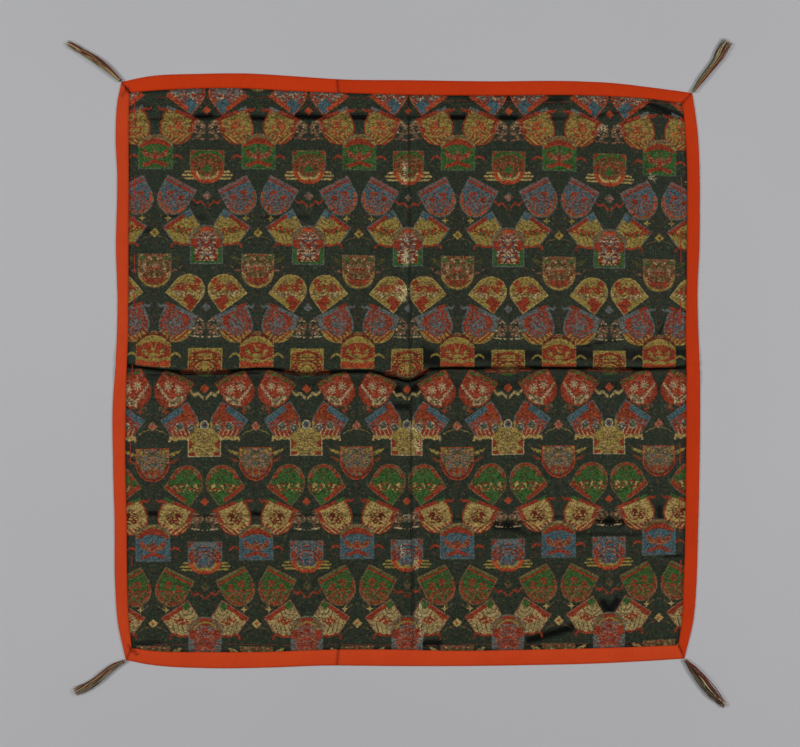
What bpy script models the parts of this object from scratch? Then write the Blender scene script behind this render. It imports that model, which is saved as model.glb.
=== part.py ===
# Square gift cover of patterned silk, lying face up on a flat surface.
# Two loom widths meet at an upright centre seam, a plain silk border with mitred
# corners surrounds them, and a tassel of loose threads is sewn to each corner.
# Metres, X to the right, Y up the cloth, Z up. The origin is the middle of the whole
# thing, tassels included, on the surface. Tables are in millimetres, as measured.

import math
from collections import namedtuple

import bmesh
import bpy
import numpy as np

MM = 0.001

CLOTH_THICKNESS = 1.5       # the silk panels
SEWN_GAP = 0.3              # between pieces that are sewn together
MITRE_GAP = 0.6             # the same, measured along a strip at its slanting mitre
CORNER_ROUNDING = 1.2       # how far each outer corner is drawn in, along its mitre
PANEL_COLUMNS = 12          # cells across one panel
ROW_STEP = 34.0             # cells up a panel, away from the creases
CREASE_ROWS = (-16.0, -5.0, 0.0, 5.0, 16.0)   # rows beside each crease
END_FADE = 30.0             # over which a crease dies away at its ends
RESTING_SHARE = 0.3         # swells lower than this lie flat on the surface
SHARP_ANGLE = 50.0          # edges sharper than this stay crisp

# The padded section of the border: share of its width from the inner edge, and height.
BorderRow = namedtuple("BorderRow", "across height")
BORDER_SECTION = (
    BorderRow(0.0, 1.6),
    BorderRow(0.25, 2.5),
    BorderRow(0.7, 2.3),
    BorderRow(1.0, 0.9),
)

# The upper and the lower border are pieced from two lengths, at this column of the
# left panel, about 70 mm to the left of the middle.
JOIN_COLUMN = 9

Corner = namedtuple("Corner", "inner_x inner_y outer_x outer_y")
UPPER_LEFT = Corner(-315.1, 328.4, -325.0, 341.3)
UPPER_RIGHT = Corner(330.2, 316.1, 342.5, 328.4)
LOWER_LEFT = Corner(-312.7, -320.9, -319.8, -335.0)
LOWER_RIGHT = Corner(326.1, -317.4, 333.3, -333.3)

# Each side of the border between its corners: the place along it, and its two edges.
EdgeRow = namedtuple("EdgeRow", "along inner outer")
TOP_SIDE = (
    EdgeRow(-294, 330.4, 347.6),
    EdgeRow(-238, 333.4, 350.6),
    EdgeRow(-175, 333.3, 351.0),
    EdgeRow(-125, 330.4, 348.0),
    EdgeRow(-69, 328.2, 344.3),
    EdgeRow(15, 325.9, 343.2),
    EdgeRow(99, 325.2, 342.0),
    EdgeRow(211, 325.4, 341.9),
    EdgeRow(250, 324.0, 339.9),
    EdgeRow(296, 320.5, 334.6),
)
BOTTOM_SIDE = (
    EdgeRow(-294, -323.5, -340.0),
    EdgeRow(-224, -325.5, -344.4),
    EdgeRow(-154, -325.2, -343.8),
    EdgeRow(-92, -323.0, -341.5),
    EdgeRow(1, -322.7, -342.0),
    EdgeRow(60, -323.9, -342.0),
    EdgeRow(176, -322.2, -340.4),
    EdgeRow(215, -321.4, -339.5),
    EdgeRow(279, -319.3, -336.6),
)
LEFT_SIDE = (
    EdgeRow(-288, -316.3, -329.6),
    EdgeRow(-251, -317.9, -332.2),
    EdgeRow(-167, -318.8, -333.1),
    EdgeRow(-110, -320.2, -334.7),
    EdgeRow(-26, -319.4, -334.6),
    EdgeRow(5, -318.4, -332.0),
    EdgeRow(28, -317.4, -330.9),
    EdgeRow(86, -316.8, -329.6),
    EdgeRow(145, -316.6, -331.4),
    EdgeRow(230, -316.3, -329.9),
    EdgeRow(282, -316.3, -331.8),
    EdgeRow(317, -315.7, -329.8),
)
RIGHT_SIDE = (
    EdgeRow(-286, 330.5, 344.2),
    EdgeRow(-253, 331.9, 347.1),
    EdgeRow(-195, 334.0, 349.1),
    EdgeRow(-110, 335.2, 351.1),
    EdgeRow(2, 335.4, 351.5),
    EdgeRow(54, 334.8, 349.6),
    EdgeRow(98, 335.9, 348.8),
    EdgeRow(145, 336.1, 350.9),
    EdgeRow(193, 336.6, 351.5),
    EdgeRow(242, 336.2, 351.1),
    EdgeRow(280, 334.4, 349.1),
    EdgeRow(306, 332.0, 346.0),
)

# The centre seam, up the cloth.
SeamRow = namedtuple("SeamRow", "y x")
CENTRE_SEAM = (
    SeamRow(-340, 16.1),
    SeamRow(-171, 14.5),
    SeamRow(86, 12.5),
    SeamRow(340, 11.4),
)

# Creases left by folding. Each is a low swell with a trough pressed along its line.
# rise is the swell's height there, reach its half width, trough and crease the same
# for the pressed line, as a share of the rise and in millimetres.
CreaseRow = namedtuple("CreaseRow", "x y rise")
Crease = namedtuple("Crease", "name reach trough crease rows")
CREASES = (
    Crease("lower fold", 20, 0.7, 5, (
        CreaseRow(-312, -166, 0.6),
        CreaseRow(-250, -167, 1.3),
        CreaseRow(-150, -166, 0.8),
        CreaseRow(-55, -166, 1.5),
        CreaseRow(60, -170, 0.8),
        CreaseRow(130, -174, 1.5),
        CreaseRow(190, -168, 0.9),
        CreaseRow(250, -175, 1.4),
        CreaseRow(330, -174, 0.5),
    )),
    Crease("main fold", 24, 0.8, 5, (
        CreaseRow(-334, 10, 1.6),
        CreaseRow(-316, 9, 2.4),
        CreaseRow(-267, 2.8, 3.6),
        CreaseRow(-225, 0.9, 4.2),
        CreaseRow(-196, 2.8, 3.6),
        CreaseRow(-151, 5.5, 3.0),
        CreaseRow(-116, 0, 4.4),
        CreaseRow(-67, 2.8, 3.4),
        CreaseRow(-20, 1.6, 3.8),
        CreaseRow(13.7, -4, 4.8),
        CreaseRow(43, 3.4, 4.2),
        CreaseRow(97, 6.3, 3.4),
        CreaseRow(188, 6.9, 4.2),
        CreaseRow(279, 5.1, 3.6),
        CreaseRow(334, 7, 2.4),
        CreaseRow(352, 7, 1.4),
    )),
    Crease("upper fold", 18, 0.8, 5, (
        CreaseRow(-300, 297, 0.9),
        CreaseRow(-227, 299, 2.2),
        CreaseRow(-165, 300, 1.5),
        CreaseRow(-107, 299, 2.2),
        CreaseRow(-47, 299, 1.6),
        CreaseRow(13, 300, 1.1),
        CreaseRow(67, 300, 2.2),
        CreaseRow(127, 299, 1.7),
        CreaseRow(200, 299, 1.2),
        CreaseRow(262, 306, 1.8),
        CreaseRow(289, 309, 2.4),
        CreaseRow(325, 298, 1.2),
    )),
)

# Soft slanting ridges, each a straight line with its height and half width.
Ridge = namedtuple("Ridge", "name x0 y0 x1 y1 rise reach")
RIDGES = (
    Ridge("right slant", 207, 32, 316, 58, 1.8, 13),
    Ridge("lower right slant", 167, -304, 200, -291, 1.6, 10),
    Ridge("lower right point", 232, -262, 252, -276, 1.5, 12),
    Ridge("upper left", -312, 166, -262, 160, 1.4, 10),
    Ridge("right edge", 300, -222, 330, -214, 1.5, 12),
)

# The tassels: which way each lies from its corner, degrees from +X, and its form.
# bow is how far its middle stands off the straight line, to the left of its run.
Tassel = namedtuple("Tassel", "name corner heading length bow middle_width tip_width")
TASSELS = (
    Tassel("upper_left", UPPER_LEFT, 144.5, 78.5, -3.0, 8.6, 8.0),
    Tassel("upper_right", UPPER_RIGHT, 54.6, 75.5, -1.8, 9.0, 14.0),
    Tassel("lower_left", LOWER_LEFT, 213.5, 71.0, 2.1, 8.6, 10.0),
    Tassel("lower_right", LOWER_RIGHT, 312.0, 75.6, 1.5, 13.0, 9.0),
)
STRAND_COLUMNS = 6
STRAND_ROWS = 3
STRAND_SIDE = 0.8           # threads are gathered in locks this thick
STRAND_GAP = 0.35
STRAND_SECTIONS = (0.0, 0.25, 0.5, 0.78, 1.0)   # shares of a strand's length
STRAND_RAGGED = 5.0         # how uneven the cut ends are
TOP_LIFT = 0.9              # how far the upper strands stand off the lower ones
HEAD_LENGTH = 3.6           # the bound root of a tassel
HEAD_NARROW = 0.36          # its inner end, as a share of its outer one

SILK_GROUND = ("patterned_silk", (0.055, 0.060, 0.045), 0.55)
BORDER_SILK = ("border_silk", (0.560, 0.040, 0.010), 0.50)
THREAD = ("tassel_thread", (0.200, 0.130, 0.060), 0.60)


def clear_objects():
    for old in list(bpy.data.objects):
        bpy.data.objects.remove(old, do_unlink=True)


def make_material(finish):
    name, colour, roughness = finish
    material = bpy.data.materials.new(name)
    material.use_nodes = True
    shader = material.node_tree.nodes["Principled BSDF"]
    shader.inputs["Base Color"].default_value = (*colour, 1.0)
    shader.inputs["Roughness"].default_value = roughness
    shader.inputs["Metallic"].default_value = 0.0
    return material


def smooth(at, knots, values):
    """Smooth curve through the knots, in cubic pieces, level beyond the end knots."""
    knots = np.asarray(knots, float)
    values = np.asarray(values, float)
    slopes = np.gradient(values, knots)
    at = np.clip(at, knots[0], knots[-1])
    piece = np.clip(np.searchsorted(knots, at) - 1, 0, len(knots) - 2)
    span = knots[piece + 1] - knots[piece]
    t = (at - knots[piece]) / span
    blend = t * t * (3 - 2 * t)
    leave = t * (1 - t) ** 2 * span * slopes[piece]
    arrive = t * t * (t - 1) * span * slopes[piece + 1]
    return values[piece] * (1 - blend) + values[piece + 1] * blend + leave + arrive


def side_curve(rows, start, end, start_value, end_value, edge):
    """An edge of the border as a function of the place along it, corners included."""
    knots = [start] + [row.along for row in rows] + [end]
    values = [start_value] + [getattr(row, edge) for row in rows] + [end_value]
    return lambda at: smooth(at, knots, values)


def across_curve(rows, left, right, edge):
    """An edge of the upper or the lower border: y against x."""
    return side_curve(
        rows,
        getattr(left, edge + "_x"),
        getattr(right, edge + "_x"),
        getattr(left, edge + "_y"),
        getattr(right, edge + "_y"),
        edge,
    )


def upright_curve(rows, lower, upper, edge):
    """An edge of the left or the right border: x against y."""
    return side_curve(
        rows,
        getattr(lower, edge + "_y"),
        getattr(upper, edge + "_y"),
        getattr(lower, edge + "_x"),
        getattr(upper, edge + "_x"),
        edge,
    )


top_inner = across_curve(TOP_SIDE, UPPER_LEFT, UPPER_RIGHT, "inner")
bottom_inner = across_curve(BOTTOM_SIDE, LOWER_LEFT, LOWER_RIGHT, "inner")
left_inner = upright_curve(LEFT_SIDE, LOWER_LEFT, UPPER_LEFT, "inner")
right_inner = upright_curve(RIGHT_SIDE, LOWER_RIGHT, UPPER_RIGHT, "inner")


def seam_x(y):
    return smooth(y, [row.y for row in CENTRE_SEAM], [row.x for row in CENTRE_SEAM])


def crease_y(crease, x):
    return smooth(x, [row.x for row in crease.rows], [row.y for row in crease.rows])


def ramp(value, width):
    """0 below zero, 1 past width, and a soft step between."""
    t = np.clip(value / width, 0, 1)
    return t * t * (3 - 2 * t)


def crease_height(crease, x, y):
    """A bell-shaped swell over the crease's line, less a narrow bell along the line."""
    knots = [row.x for row in crease.rows]
    rise = smooth(x, knots, [row.rise for row in crease.rows])
    rise = rise * ramp(x - knots[0] + END_FADE, END_FADE)
    rise = rise * ramp(knots[-1] + END_FADE - x, END_FADE)
    off = y - crease_y(crease, x)
    swell = np.exp(-((off / crease.reach) ** 2))
    trough = np.exp(-((off / crease.crease) ** 2))
    return rise * (swell - crease.trough * trough)


def ridge_height(ridge, x, y):
    """A bell-shaped ridge: its height falls off with the distance from its line."""
    run_x = ridge.x1 - ridge.x0
    run_y = ridge.y1 - ridge.y0
    share = ((x - ridge.x0) * run_x + (y - ridge.y0) * run_y) / (run_x**2 + run_y**2)
    share = np.clip(share, 0, 1)
    away = np.hypot(x - ridge.x0 - share * run_x, y - ridge.y0 - share * run_y)
    return ridge.rise * np.exp(-((away / ridge.reach) ** 2))


def lift(x, y):
    """How far the cloth's underside stands off the surface at (x, y)."""
    height = sum(crease_height(crease, x, y) for crease in CREASES)
    height = height + sum(ridge_height(ridge, x, y) for ridge in RIDGES)
    return np.maximum(height - RESTING_SHARE, 0)


def add_object(name, mesh, material):
    mesh.materials.append(material)
    thing = bpy.data.objects.new(name, mesh)
    bpy.context.scene.collection.objects.link(thing)
    return thing


def sheet_object(name, x, y, low, high, material):
    """A closed sheet over a grid: an upper face, an under face and a rim."""
    rows, columns = x.shape
    upper = np.stack([x, y, high], axis=-1).reshape(-1, 3)
    under = np.stack([x, y, low], axis=-1).reshape(-1, 3)
    points = np.concatenate([upper, under]) * MM
    index = np.arange(rows * columns).reshape(rows, columns)
    below = index + rows * columns
    faces = []
    for r in range(rows - 1):
        for c in range(columns - 1):
            near, far = index[r, c], index[r + 1, c + 1]
            faces.append((near, index[r, c + 1], far, index[r + 1, c]))
            near, far = below[r, c], below[r + 1, c + 1]
            faces.append((near, below[r + 1, c], far, below[r, c + 1]))
    rim = list(index[0, :]) + list(index[1:, -1]) + list(index[-1, -2::-1]) + list(index[-2:0:-1, 0])
    for here, there in zip(rim, rim[1:] + rim[:1]):
        faces.append((here, here + rows * columns, there + rows * columns, there))
    mesh = bpy.data.meshes.new(name)
    mesh.from_pydata(points.tolist(), [], [tuple(int(i) for i in face) for face in faces])
    shaper = bmesh.new()
    shaper.from_mesh(mesh)
    bmesh.ops.recalc_face_normals(shaper, faces=shaper.faces)
    bmesh.ops.triangulate(shaper, faces=shaper.faces)
    shaper.to_mesh(mesh)
    shaper.free()
    mesh.shade_smooth()
    mesh.set_sharp_from_angle(angle=math.radians(SHARP_ANGLE))
    return add_object(name, mesh, material)


def panel_rows(x):
    """The y of every row of cells, from the lower edge to the upper one.

    Rows run along the creases, at the offsets of CREASE_ROWS, and are spread evenly
    between them. x is a line of places, the same for each row, or a grid of them.
    """
    lower = bottom_inner(x) + SEWN_GAP / 2
    upper = top_inner(x) - SEWN_GAP / 2
    lines = [crease_y(crease, x) for crease in CREASES]
    rows = [lower]
    for line in lines:
        rows += spread(rows[-1], line + CREASE_ROWS[0])
        rows += [line + offset for offset in CREASE_ROWS]
    rows += spread(rows[-1], upper) + [upper]
    if x.ndim == 1:
        return np.stack(rows)
    return np.stack([row[number] for number, row in enumerate(rows)])


def spread(low, high):
    """Rows about ROW_STEP apart between two lines, without the lines themselves."""
    cells = max(1, round(float(np.mean(high - low)) / ROW_STEP))
    return [low + (high - low) * i / cells for i in range(1, cells)]


def panel_grid(left_edge, right_edge):
    """The points of one loom width, on a grid that follows its four edges and the creases.

    A row's height depends on x, and a column's place on y, so the two are worked out
    in turn until they agree.
    """
    shares = np.linspace(0, 1, PANEL_COLUMNS + 1)
    x = left_edge(0.0) + (right_edge(0.0) - left_edge(0.0)) * shares
    y = panel_rows(x)
    for _ in range(6):
        x = left_edge(y) + (right_edge(y) - left_edge(y)) * shares
        y = panel_rows(x)
    return x, y


def panel_object(name, grid, material):
    x, y = grid
    low = lift(x, y)
    return sheet_object(name, x, y, low, low + CLOTH_THICKNESS, material)


def border_object(name, start, end, rows, upright, places, material, joined=(False, False)):
    """One strip of the border between two corners, or between a corner and a join.

    places are those of the panels' own points along the inner edge, so that the strip
    and the panels meet along the same straight pieces. The grid runs from the inner
    edge to the outer one across, and its rows lean evenly from one mitre to the other.
    """
    curve = upright_curve if upright else across_curve
    along_name = "_y" if upright else "_x"
    inner_start, inner_end = [getattr(corner, "inner" + along_name) for corner in (start, end)]
    outer_start, outer_end = [getattr(corner, "outer" + along_name) for corner in (start, end)]
    share = (places - inner_start) / (inner_end - inner_start)
    outer_places = outer_start + (outer_end - outer_start) * share
    inner_off = curve(rows, start, end, "inner")(places)
    outer_off = curve(rows, start, end, "outer")(outer_places)
    outward = np.sign(outer_off[0] - inner_off[0])
    inner_off = inner_off + outward * SEWN_GAP / 2
    across = np.array([row.across for row in BORDER_SECTION])
    height = np.array([row.height for row in BORDER_SECTION])
    along = places + np.outer(across, outer_places - places)
    off = inner_off + np.outer(across, outer_off - inner_off)
    # The ends stand half a gap back from the join, and more along a slanting mitre.
    for column, way, at_join in ((0, 1, joined[0]), (-1, -1, joined[1])):
        along[:, column] += way * (SEWN_GAP if at_join else MITRE_GAP) / 2
        if not at_join:
            reach = math.hypot(along[-1, column] - along[0, column], off[-1, column] - off[0, column])
            draw = CORNER_ROUNDING / reach
            along[-1, column] += (along[0, column] - along[-1, column]) * draw
            off[-1, column] += (off[0, column] - off[-1, column]) * draw
    x, y = (off, along) if upright else (along, off)
    low = lift(x, y)
    return sheet_object(name, x, y, low, low + height[:, None], material)


def corner_tip(corner):
    """The rounded outer corner: CORNER_ROUNDING in from the point, along the mitre."""
    run_x = corner.inner_x - corner.outer_x
    run_y = corner.inner_y - corner.outer_y
    share = CORNER_ROUNDING / math.hypot(run_x, run_y)
    return corner.outer_x + run_x * share, corner.outer_y + run_y * share


def tassel_object(tassel, seed, material):
    """A bound head and its strands, grown out of the head's front as one body.

    The front is a grid of cells. Every second cell, both ways, is carried outwards
    through STRAND_SECTIONS. A strand's sideways place is its column's, times a width
    that grows from the head to the middle and the tip, on a line with a slight bow.
    """
    rng = np.random.default_rng(seed)
    tip_x, tip_y = corner_tip(tassel.corner)
    run = np.array([math.cos(math.radians(tassel.heading)), math.sin(math.radians(tassel.heading))])
    side = np.array([-run[1], run[0]])
    root = np.array([tip_x, tip_y]) + run * SEWN_GAP

    def place(along, sideways, up):
        flat = root + run * along + side * sideways
        return flat[0] * MM, flat[1] * MM, up * MM

    pitch = STRAND_SIDE + STRAND_GAP
    head_width = STRAND_COLUMNS * pitch - STRAND_GAP
    columns = [c * pitch - head_width / 2 + edge for c in range(STRAND_COLUMNS) for edge in (0, STRAND_SIDE)]
    rows = [r * pitch + edge for r in range(STRAND_ROWS) for edge in (0, STRAND_SIDE)]
    shaper = bmesh.new()
    front = [[shaper.verts.new(place(HEAD_LENGTH, s, z)) for s in columns] for z in rows]
    rim = front[0][:] + [row[-1] for row in front[1:]] + front[-1][-2::-1] + [row[0] for row in front[-2:0:-1]]
    rings = [rim]
    top = rows[-1]
    flats = columns[:] + [columns[-1]] * (len(rows) - 1) + columns[-2::-1] + [columns[0]] * (len(rows) - 2)
    ups = [rows[0]] * len(columns) + rows[1:] + [top] * (len(columns) - 1) + rows[-2:0:-1]
    for share, narrow, shrink in ((0.5, 0.8, 0.94), (0.0, HEAD_NARROW, 0.62)):
        rings.append([
            shaper.verts.new(place(HEAD_LENGTH * share, s * narrow, z * shrink))
            for s, z in zip(flats, ups)
        ])
    for outer, inner in zip(rings, rings[1:]):
        for i, vert in enumerate(outer):
            j = (i + 1) % len(outer)
            shaper.faces.new((vert, inner[i], inner[j], outer[j]))
    shaper.faces.new(rings[-1][::-1])
    strands = []
    for r in range(len(rows) - 1):
        for c in range(len(columns) - 1):
            cell = (front[r][c], front[r][c + 1], front[r + 1][c + 1], front[r + 1][c])
            if r % 2 == 0 and c % 2 == 0:
                strands.append((r // 2, c // 2, cell))
            else:
                shaper.faces.new(cell)
    free = tassel.length - HEAD_LENGTH - SEWN_GAP
    for row, column, cell in strands:
        reach = free - rng.uniform(0, STRAND_RAGGED)
        drift = rng.uniform(-0.5, 0.5)
        ring = cell
        for share in STRAND_SECTIONS[1:]:
            middle = 4 * share * (1 - share)
            width = head_width + (tassel.middle_width - head_width) * min(1, 2 * share)
            width += (tassel.tip_width - tassel.middle_width) * max(0, 2 * share - 1)
            room = width / STRAND_COLUMNS - STRAND_SIDE
            place_in_row = (column + 0.5) / STRAND_COLUMNS - 0.5
            centre = place_in_row * width + tassel.bow * middle + drift * max(room - STRAND_GAP, 0) * share
            up = row * (pitch + TOP_LIFT * middle)
            half = STRAND_SIDE / 2
            corners = ((-half, 0), (half, 0), (half, STRAND_SIDE), (-half, STRAND_SIDE))
            along = HEAD_LENGTH + reach * share
            step = [shaper.verts.new(place(along, centre + s, up + z)) for s, z in corners]
            for i in range(4):
                j = (i + 1) % 4
                shaper.faces.new((ring[i], ring[j], step[j], step[i]))
            ring = step
        shaper.faces.new(ring)
    bmesh.ops.recalc_face_normals(shaper, faces=shaper.faces)
    bmesh.ops.triangulate(shaper, faces=shaper.faces)
    mesh = bpy.data.meshes.new("tassel_" + tassel.name)
    shaper.to_mesh(mesh)
    shaper.free()
    return add_object("tassel_" + tassel.name, mesh, material)


def build():
    clear_objects()
    half_gap = SEWN_GAP / 2
    silk = make_material(SILK_GROUND)
    left = panel_grid(lambda y: left_inner(y) + half_gap, lambda y: seam_x(y) - half_gap)
    right = panel_grid(lambda y: seam_x(y) + half_gap, lambda y: right_inner(y) - half_gap)
    panel_object("panel_left", left, silk)
    panel_object("panel_right", right, silk)

    border = make_material(BORDER_SILK)
    for name, rows, start, end, edge in (
        ("border_top", TOP_SIDE, UPPER_LEFT, UPPER_RIGHT, -1),
        ("border_bottom", BOTTOM_SIDE, LOWER_LEFT, LOWER_RIGHT, 0),
    ):
        # Both panels' points, with one place in the middle of the seam's gap.
        places = np.concatenate([left[0][edge, :-1], right[0][edge]])
        places[PANEL_COLUMNS] -= half_gap
        places[0], places[-1] = start.inner_x, end.inner_x
        here, there = places[:JOIN_COLUMN + 1], places[JOIN_COLUMN:]
        border_object(name + "_left", start, end, rows, False, here, border, (False, True))
        border_object(name + "_right", start, end, rows, False, there, border, (True, False))
    for name, rows, start, end, panel, edge in (
        ("border_left", LEFT_SIDE, LOWER_LEFT, UPPER_LEFT, left, 0),
        ("border_right", RIGHT_SIDE, LOWER_RIGHT, UPPER_RIGHT, right, -1),
    ):
        places = panel[1][:, edge].copy()
        places[0], places[-1] = start.inner_y, end.inner_y
        border_object(name, start, end, rows, True, places, border)

    thread = make_material(THREAD)
    for seed, tassel in enumerate(TASSELS):
        tassel_object(tassel, seed, thread)


build()
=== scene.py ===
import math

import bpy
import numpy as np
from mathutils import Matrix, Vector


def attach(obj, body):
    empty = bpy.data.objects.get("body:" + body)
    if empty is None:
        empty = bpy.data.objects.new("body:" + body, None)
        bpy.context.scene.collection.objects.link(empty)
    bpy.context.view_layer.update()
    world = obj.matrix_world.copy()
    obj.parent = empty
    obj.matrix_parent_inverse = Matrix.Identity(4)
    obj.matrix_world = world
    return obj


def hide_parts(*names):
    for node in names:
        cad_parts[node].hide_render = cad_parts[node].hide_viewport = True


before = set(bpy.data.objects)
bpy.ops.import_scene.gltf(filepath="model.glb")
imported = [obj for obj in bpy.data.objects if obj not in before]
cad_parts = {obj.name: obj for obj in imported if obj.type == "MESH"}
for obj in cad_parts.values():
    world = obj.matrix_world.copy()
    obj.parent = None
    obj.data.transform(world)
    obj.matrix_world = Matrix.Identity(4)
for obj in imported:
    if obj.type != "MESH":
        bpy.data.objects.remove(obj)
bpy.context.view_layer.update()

# A square gift cover of patterned silk, laid flat and seen from straight above.
# Tables are in millimetres. The brocade has a chart of its own, in steps of 1.17 mm:
# across from an axis of its mirrored figures, and down from the upper edge of the chart.

mm = 0.001
chartStep = 1.17
chartAcross = 399.3     # the chart's column at x = 0
chartDown = 373.7       # the chart's line at y = 0
sheetThickness = 0.8
edgeGap = 0.05          # left free beside the border by a panel, and by a strip in turn
seamGap = 0.1           # left free on each side of the centre seam and of a join
mitreGap = 0.06         # left free on each side of a mitre
leastHeight = 0.02      # of the under face over the floor
laidLevel = 0.3         # what of a fold's height lies flat on the ground
fadeLength = 30         # over which a crease ends

# Edges of the cloth, as measured: the place along a side, its inner and its outer edge.
corners = {
    "upperLeft": (-315.1, 328.4, -325.0, 341.3),
    "upperRight": (330.2, 316.1, 342.5, 328.4),
    "lowerLeft": (-312.7, -320.9, -319.8, -335.0),
    "lowerRight": (326.1, -317.4, 333.3, -333.3),
}
topSide = (
    (-294, 330.4, 347.6), (-238, 333.4, 350.6), (-175, 333.3, 351.0), (-125, 330.4, 348.0),
    (-69, 328.2, 344.3), (15, 325.9, 343.2), (99, 325.2, 342.0), (211, 325.4, 341.9),
    (250, 324.0, 339.9), (296, 320.5, 334.6),
)
bottomSide = (
    (-294, -323.5, -340.0), (-224, -325.5, -344.4), (-154, -325.2, -343.8), (-92, -323.0, -341.5),
    (1, -322.7, -342.0), (60, -323.9, -342.0), (176, -322.2, -340.4), (215, -321.4, -339.5),
    (279, -319.3, -336.6),
)
leftSide = (
    (-288, -316.3, -329.6), (-251, -317.9, -332.2), (-167, -318.8, -333.1), (-110, -320.2, -334.7),
    (-26, -319.4, -334.6), (5, -318.4, -332.0), (28, -317.4, -330.9), (86, -316.8, -329.6),
    (145, -316.6, -331.4), (230, -316.3, -329.9), (282, -316.3, -331.8), (317, -315.7, -329.8),
)
rightSide = (
    (-286, 330.5, 344.2), (-253, 331.9, 347.1), (-195, 334.0, 349.1), (-110, 335.2, 351.1),
    (2, 335.4, 351.5), (54, 334.8, 349.6), (98, 335.9, 348.8), (145, 336.1, 350.9),
    (193, 336.6, 351.5), (242, 336.2, 351.1), (280, 334.4, 349.1), (306, 332.0, 346.0),
)
seamRows = ((-340, 16.1), (-171, 14.5), (86, 12.5), (340, 11.4))     # y and x, up the seam

# Creases left by folding: half width and share of the pressed line, then x, y and rise.
# dark and line: depth and half width of the painted shade along each pressed line.
creases = (
    {"reach": 20, "trough": 0.8, "width": 2.0, "dark": 0.55, "line": 1.7, "rows": (
        (-312, -166, 0.6), (-250, -167, 1.3), (-150, -166, 0.8), (-55, -166, 1.5), (60, -170, 0.8),
        (130, -174, 1.5), (190, -168, 0.9), (250, -175, 1.4), (330, -174, 0.5),
    )},
    {"reach": 24, "trough": 0.9, "width": 1.5, "dark": 1.0, "line": 2.5, "rows": (
        (-334, 10, 1.6), (-316, 9, 2.4), (-267, 2.8, 3.6), (-225, 0.9, 4.2), (-196, 2.8, 3.6),
        (-151, 5.5, 3.0), (-116, 0, 4.4), (-67, 2.2, 3.4), (-25, 0.8, 3.8), (-3, -5, 4.4),
        (12, -7.4, 4.8), (23, -3.6, 4.6), (33, 3.4, 4.4), (50, 6.2, 4.0), (97, 6.3, 3.4),
        (188, 6.9, 4.2), (279, 5.1, 3.6), (334, 7, 2.4), (352, 7, 1.4),
    )},
    {"reach": 18, "trough": 0.85, "width": 1.8, "dark": 0.6, "line": 1.7, "rows": (
        (-300, 297, 0.9), (-227, 299, 2.2), (-165, 300, 1.5), (-107, 299, 2.2), (-47, 299, 1.6),
        (13, 300, 1.1), (67, 300, 2.2), (127, 299, 1.7), (200, 299, 1.2), (262, 306, 1.8),
        (289, 309, 2.4), (325, 298, 1.2),
    )},
)
# Soft slanting ridges: x and y of the two ends, height and half width.
ridges = (
    (207, 32, 316, 58, 1.8, 13), (167, -304, 200, -291, 1.6, 10), (232, -262, 252, -276, 1.5, 12),
    (-312, 166, -262, 160, 1.4, 10), (300, -222, 330, -214, 1.5, 12),
)


def smooth(at, knots, values):
    # Cubic pieces through the knots: v0 (1 - b) + v1 b + slopes, b = t t (3 - 2 t).
    knots = np.asarray(knots, float)
    values = np.asarray(values, float)
    slopes = np.gradient(values, knots)
    at = np.clip(at, knots[0], knots[-1])
    piece = np.clip(np.searchsorted(knots, at) - 1, 0, len(knots) - 2)
    span = knots[piece + 1] - knots[piece]
    t = (at - knots[piece]) / span
    blend = t * t * (3 - 2 * t)
    leave = t * (1 - t) ** 2 * span * slopes[piece]
    arrive = t * t * (t - 1) * span * slopes[piece + 1]
    return values[piece] * (1 - blend) + values[piece + 1] * blend + leave + arrive


def softStep(value, width):
    # t t (3 - 2 t), with t = value / width held between 0 and 1.
    t = np.clip(value / width, 0, 1)
    return t * t * (3 - 2 * t)


def bell(value, width):
    # e to the minus (value / width) squared.
    return np.exp(-((value / width) ** 2))


def sideCurve(rows, start, end, part, upright):
    # One edge of a side as a function of the place along it: smooth over its own rows, with
    # a corner at each end.
    first, second = corners[start], corners[end]
    along, off = (1, 0) if upright else (0, 1)
    shift = 0 if part == "inner" else 2
    column = 1 if part == "inner" else 2
    knots = [first[along + shift]] + [row[0] for row in rows] + [second[along + shift]]
    values = [first[off + shift]] + [row[column] for row in rows] + [second[off + shift]]
    return lambda at: smooth(at, knots, values)


topInner = sideCurve(topSide, "upperLeft", "upperRight", "inner", False)
bottomInner = sideCurve(bottomSide, "lowerLeft", "lowerRight", "inner", False)
leftInner = sideCurve(leftSide, "lowerLeft", "upperLeft", "inner", True)
rightInner = sideCurve(rightSide, "lowerRight", "upperRight", "inner", True)


def seamX(y):
    # The seam's x at a height y: smooth over its rows.
    return smooth(y, [row[0] for row in seamRows], [row[1] for row in seamRows])


def creaseY(crease, x):
    # The crease's y above a place x: smooth over its rows.
    return smooth(x, [row[0] for row in crease["rows"]], [row[1] for row in crease["rows"]])


def lineDistance(x, y, x0, y0, x1, y1):
    # Distance to the nearest point of a straight line: start + share run, share from 0 to 1.
    runX, runY = x1 - x0, y1 - y0
    share = np.clip(((x - x0) * runX + (y - y0) * runY) / (runX**2 + runY**2), 0, 1)
    return np.hypot(x - x0 - share * runX, y - y0 - share * runY)


def ripples(x, y, stepX, stepY, seed):
    # Random heights from -1 to 1 on a lattice, blended with t t (3 - 2 t) both ways.
    rng = np.random.default_rng(seed)
    lattice = rng.uniform(-1, 1, (64, 64))
    gridX, gridY = x / stepX + 500, y / stepY + 500
    cellX, cellY = np.floor(gridX).astype(int), np.floor(gridY).astype(int)
    blendX, blendY = softStep(gridX - cellX, 1), softStep(gridY - cellY, 1)
    below = lattice[cellX % 64, cellY % 64] * (1 - blendX)
    below = below + lattice[(cellX + 1) % 64, cellY % 64] * blendX
    above = lattice[cellX % 64, (cellY + 1) % 64] * (1 - blendX)
    above = above + lattice[(cellX + 1) % 64, (cellY + 1) % 64] * blendX
    return below * (1 - blendY) + above * blendY


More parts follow.
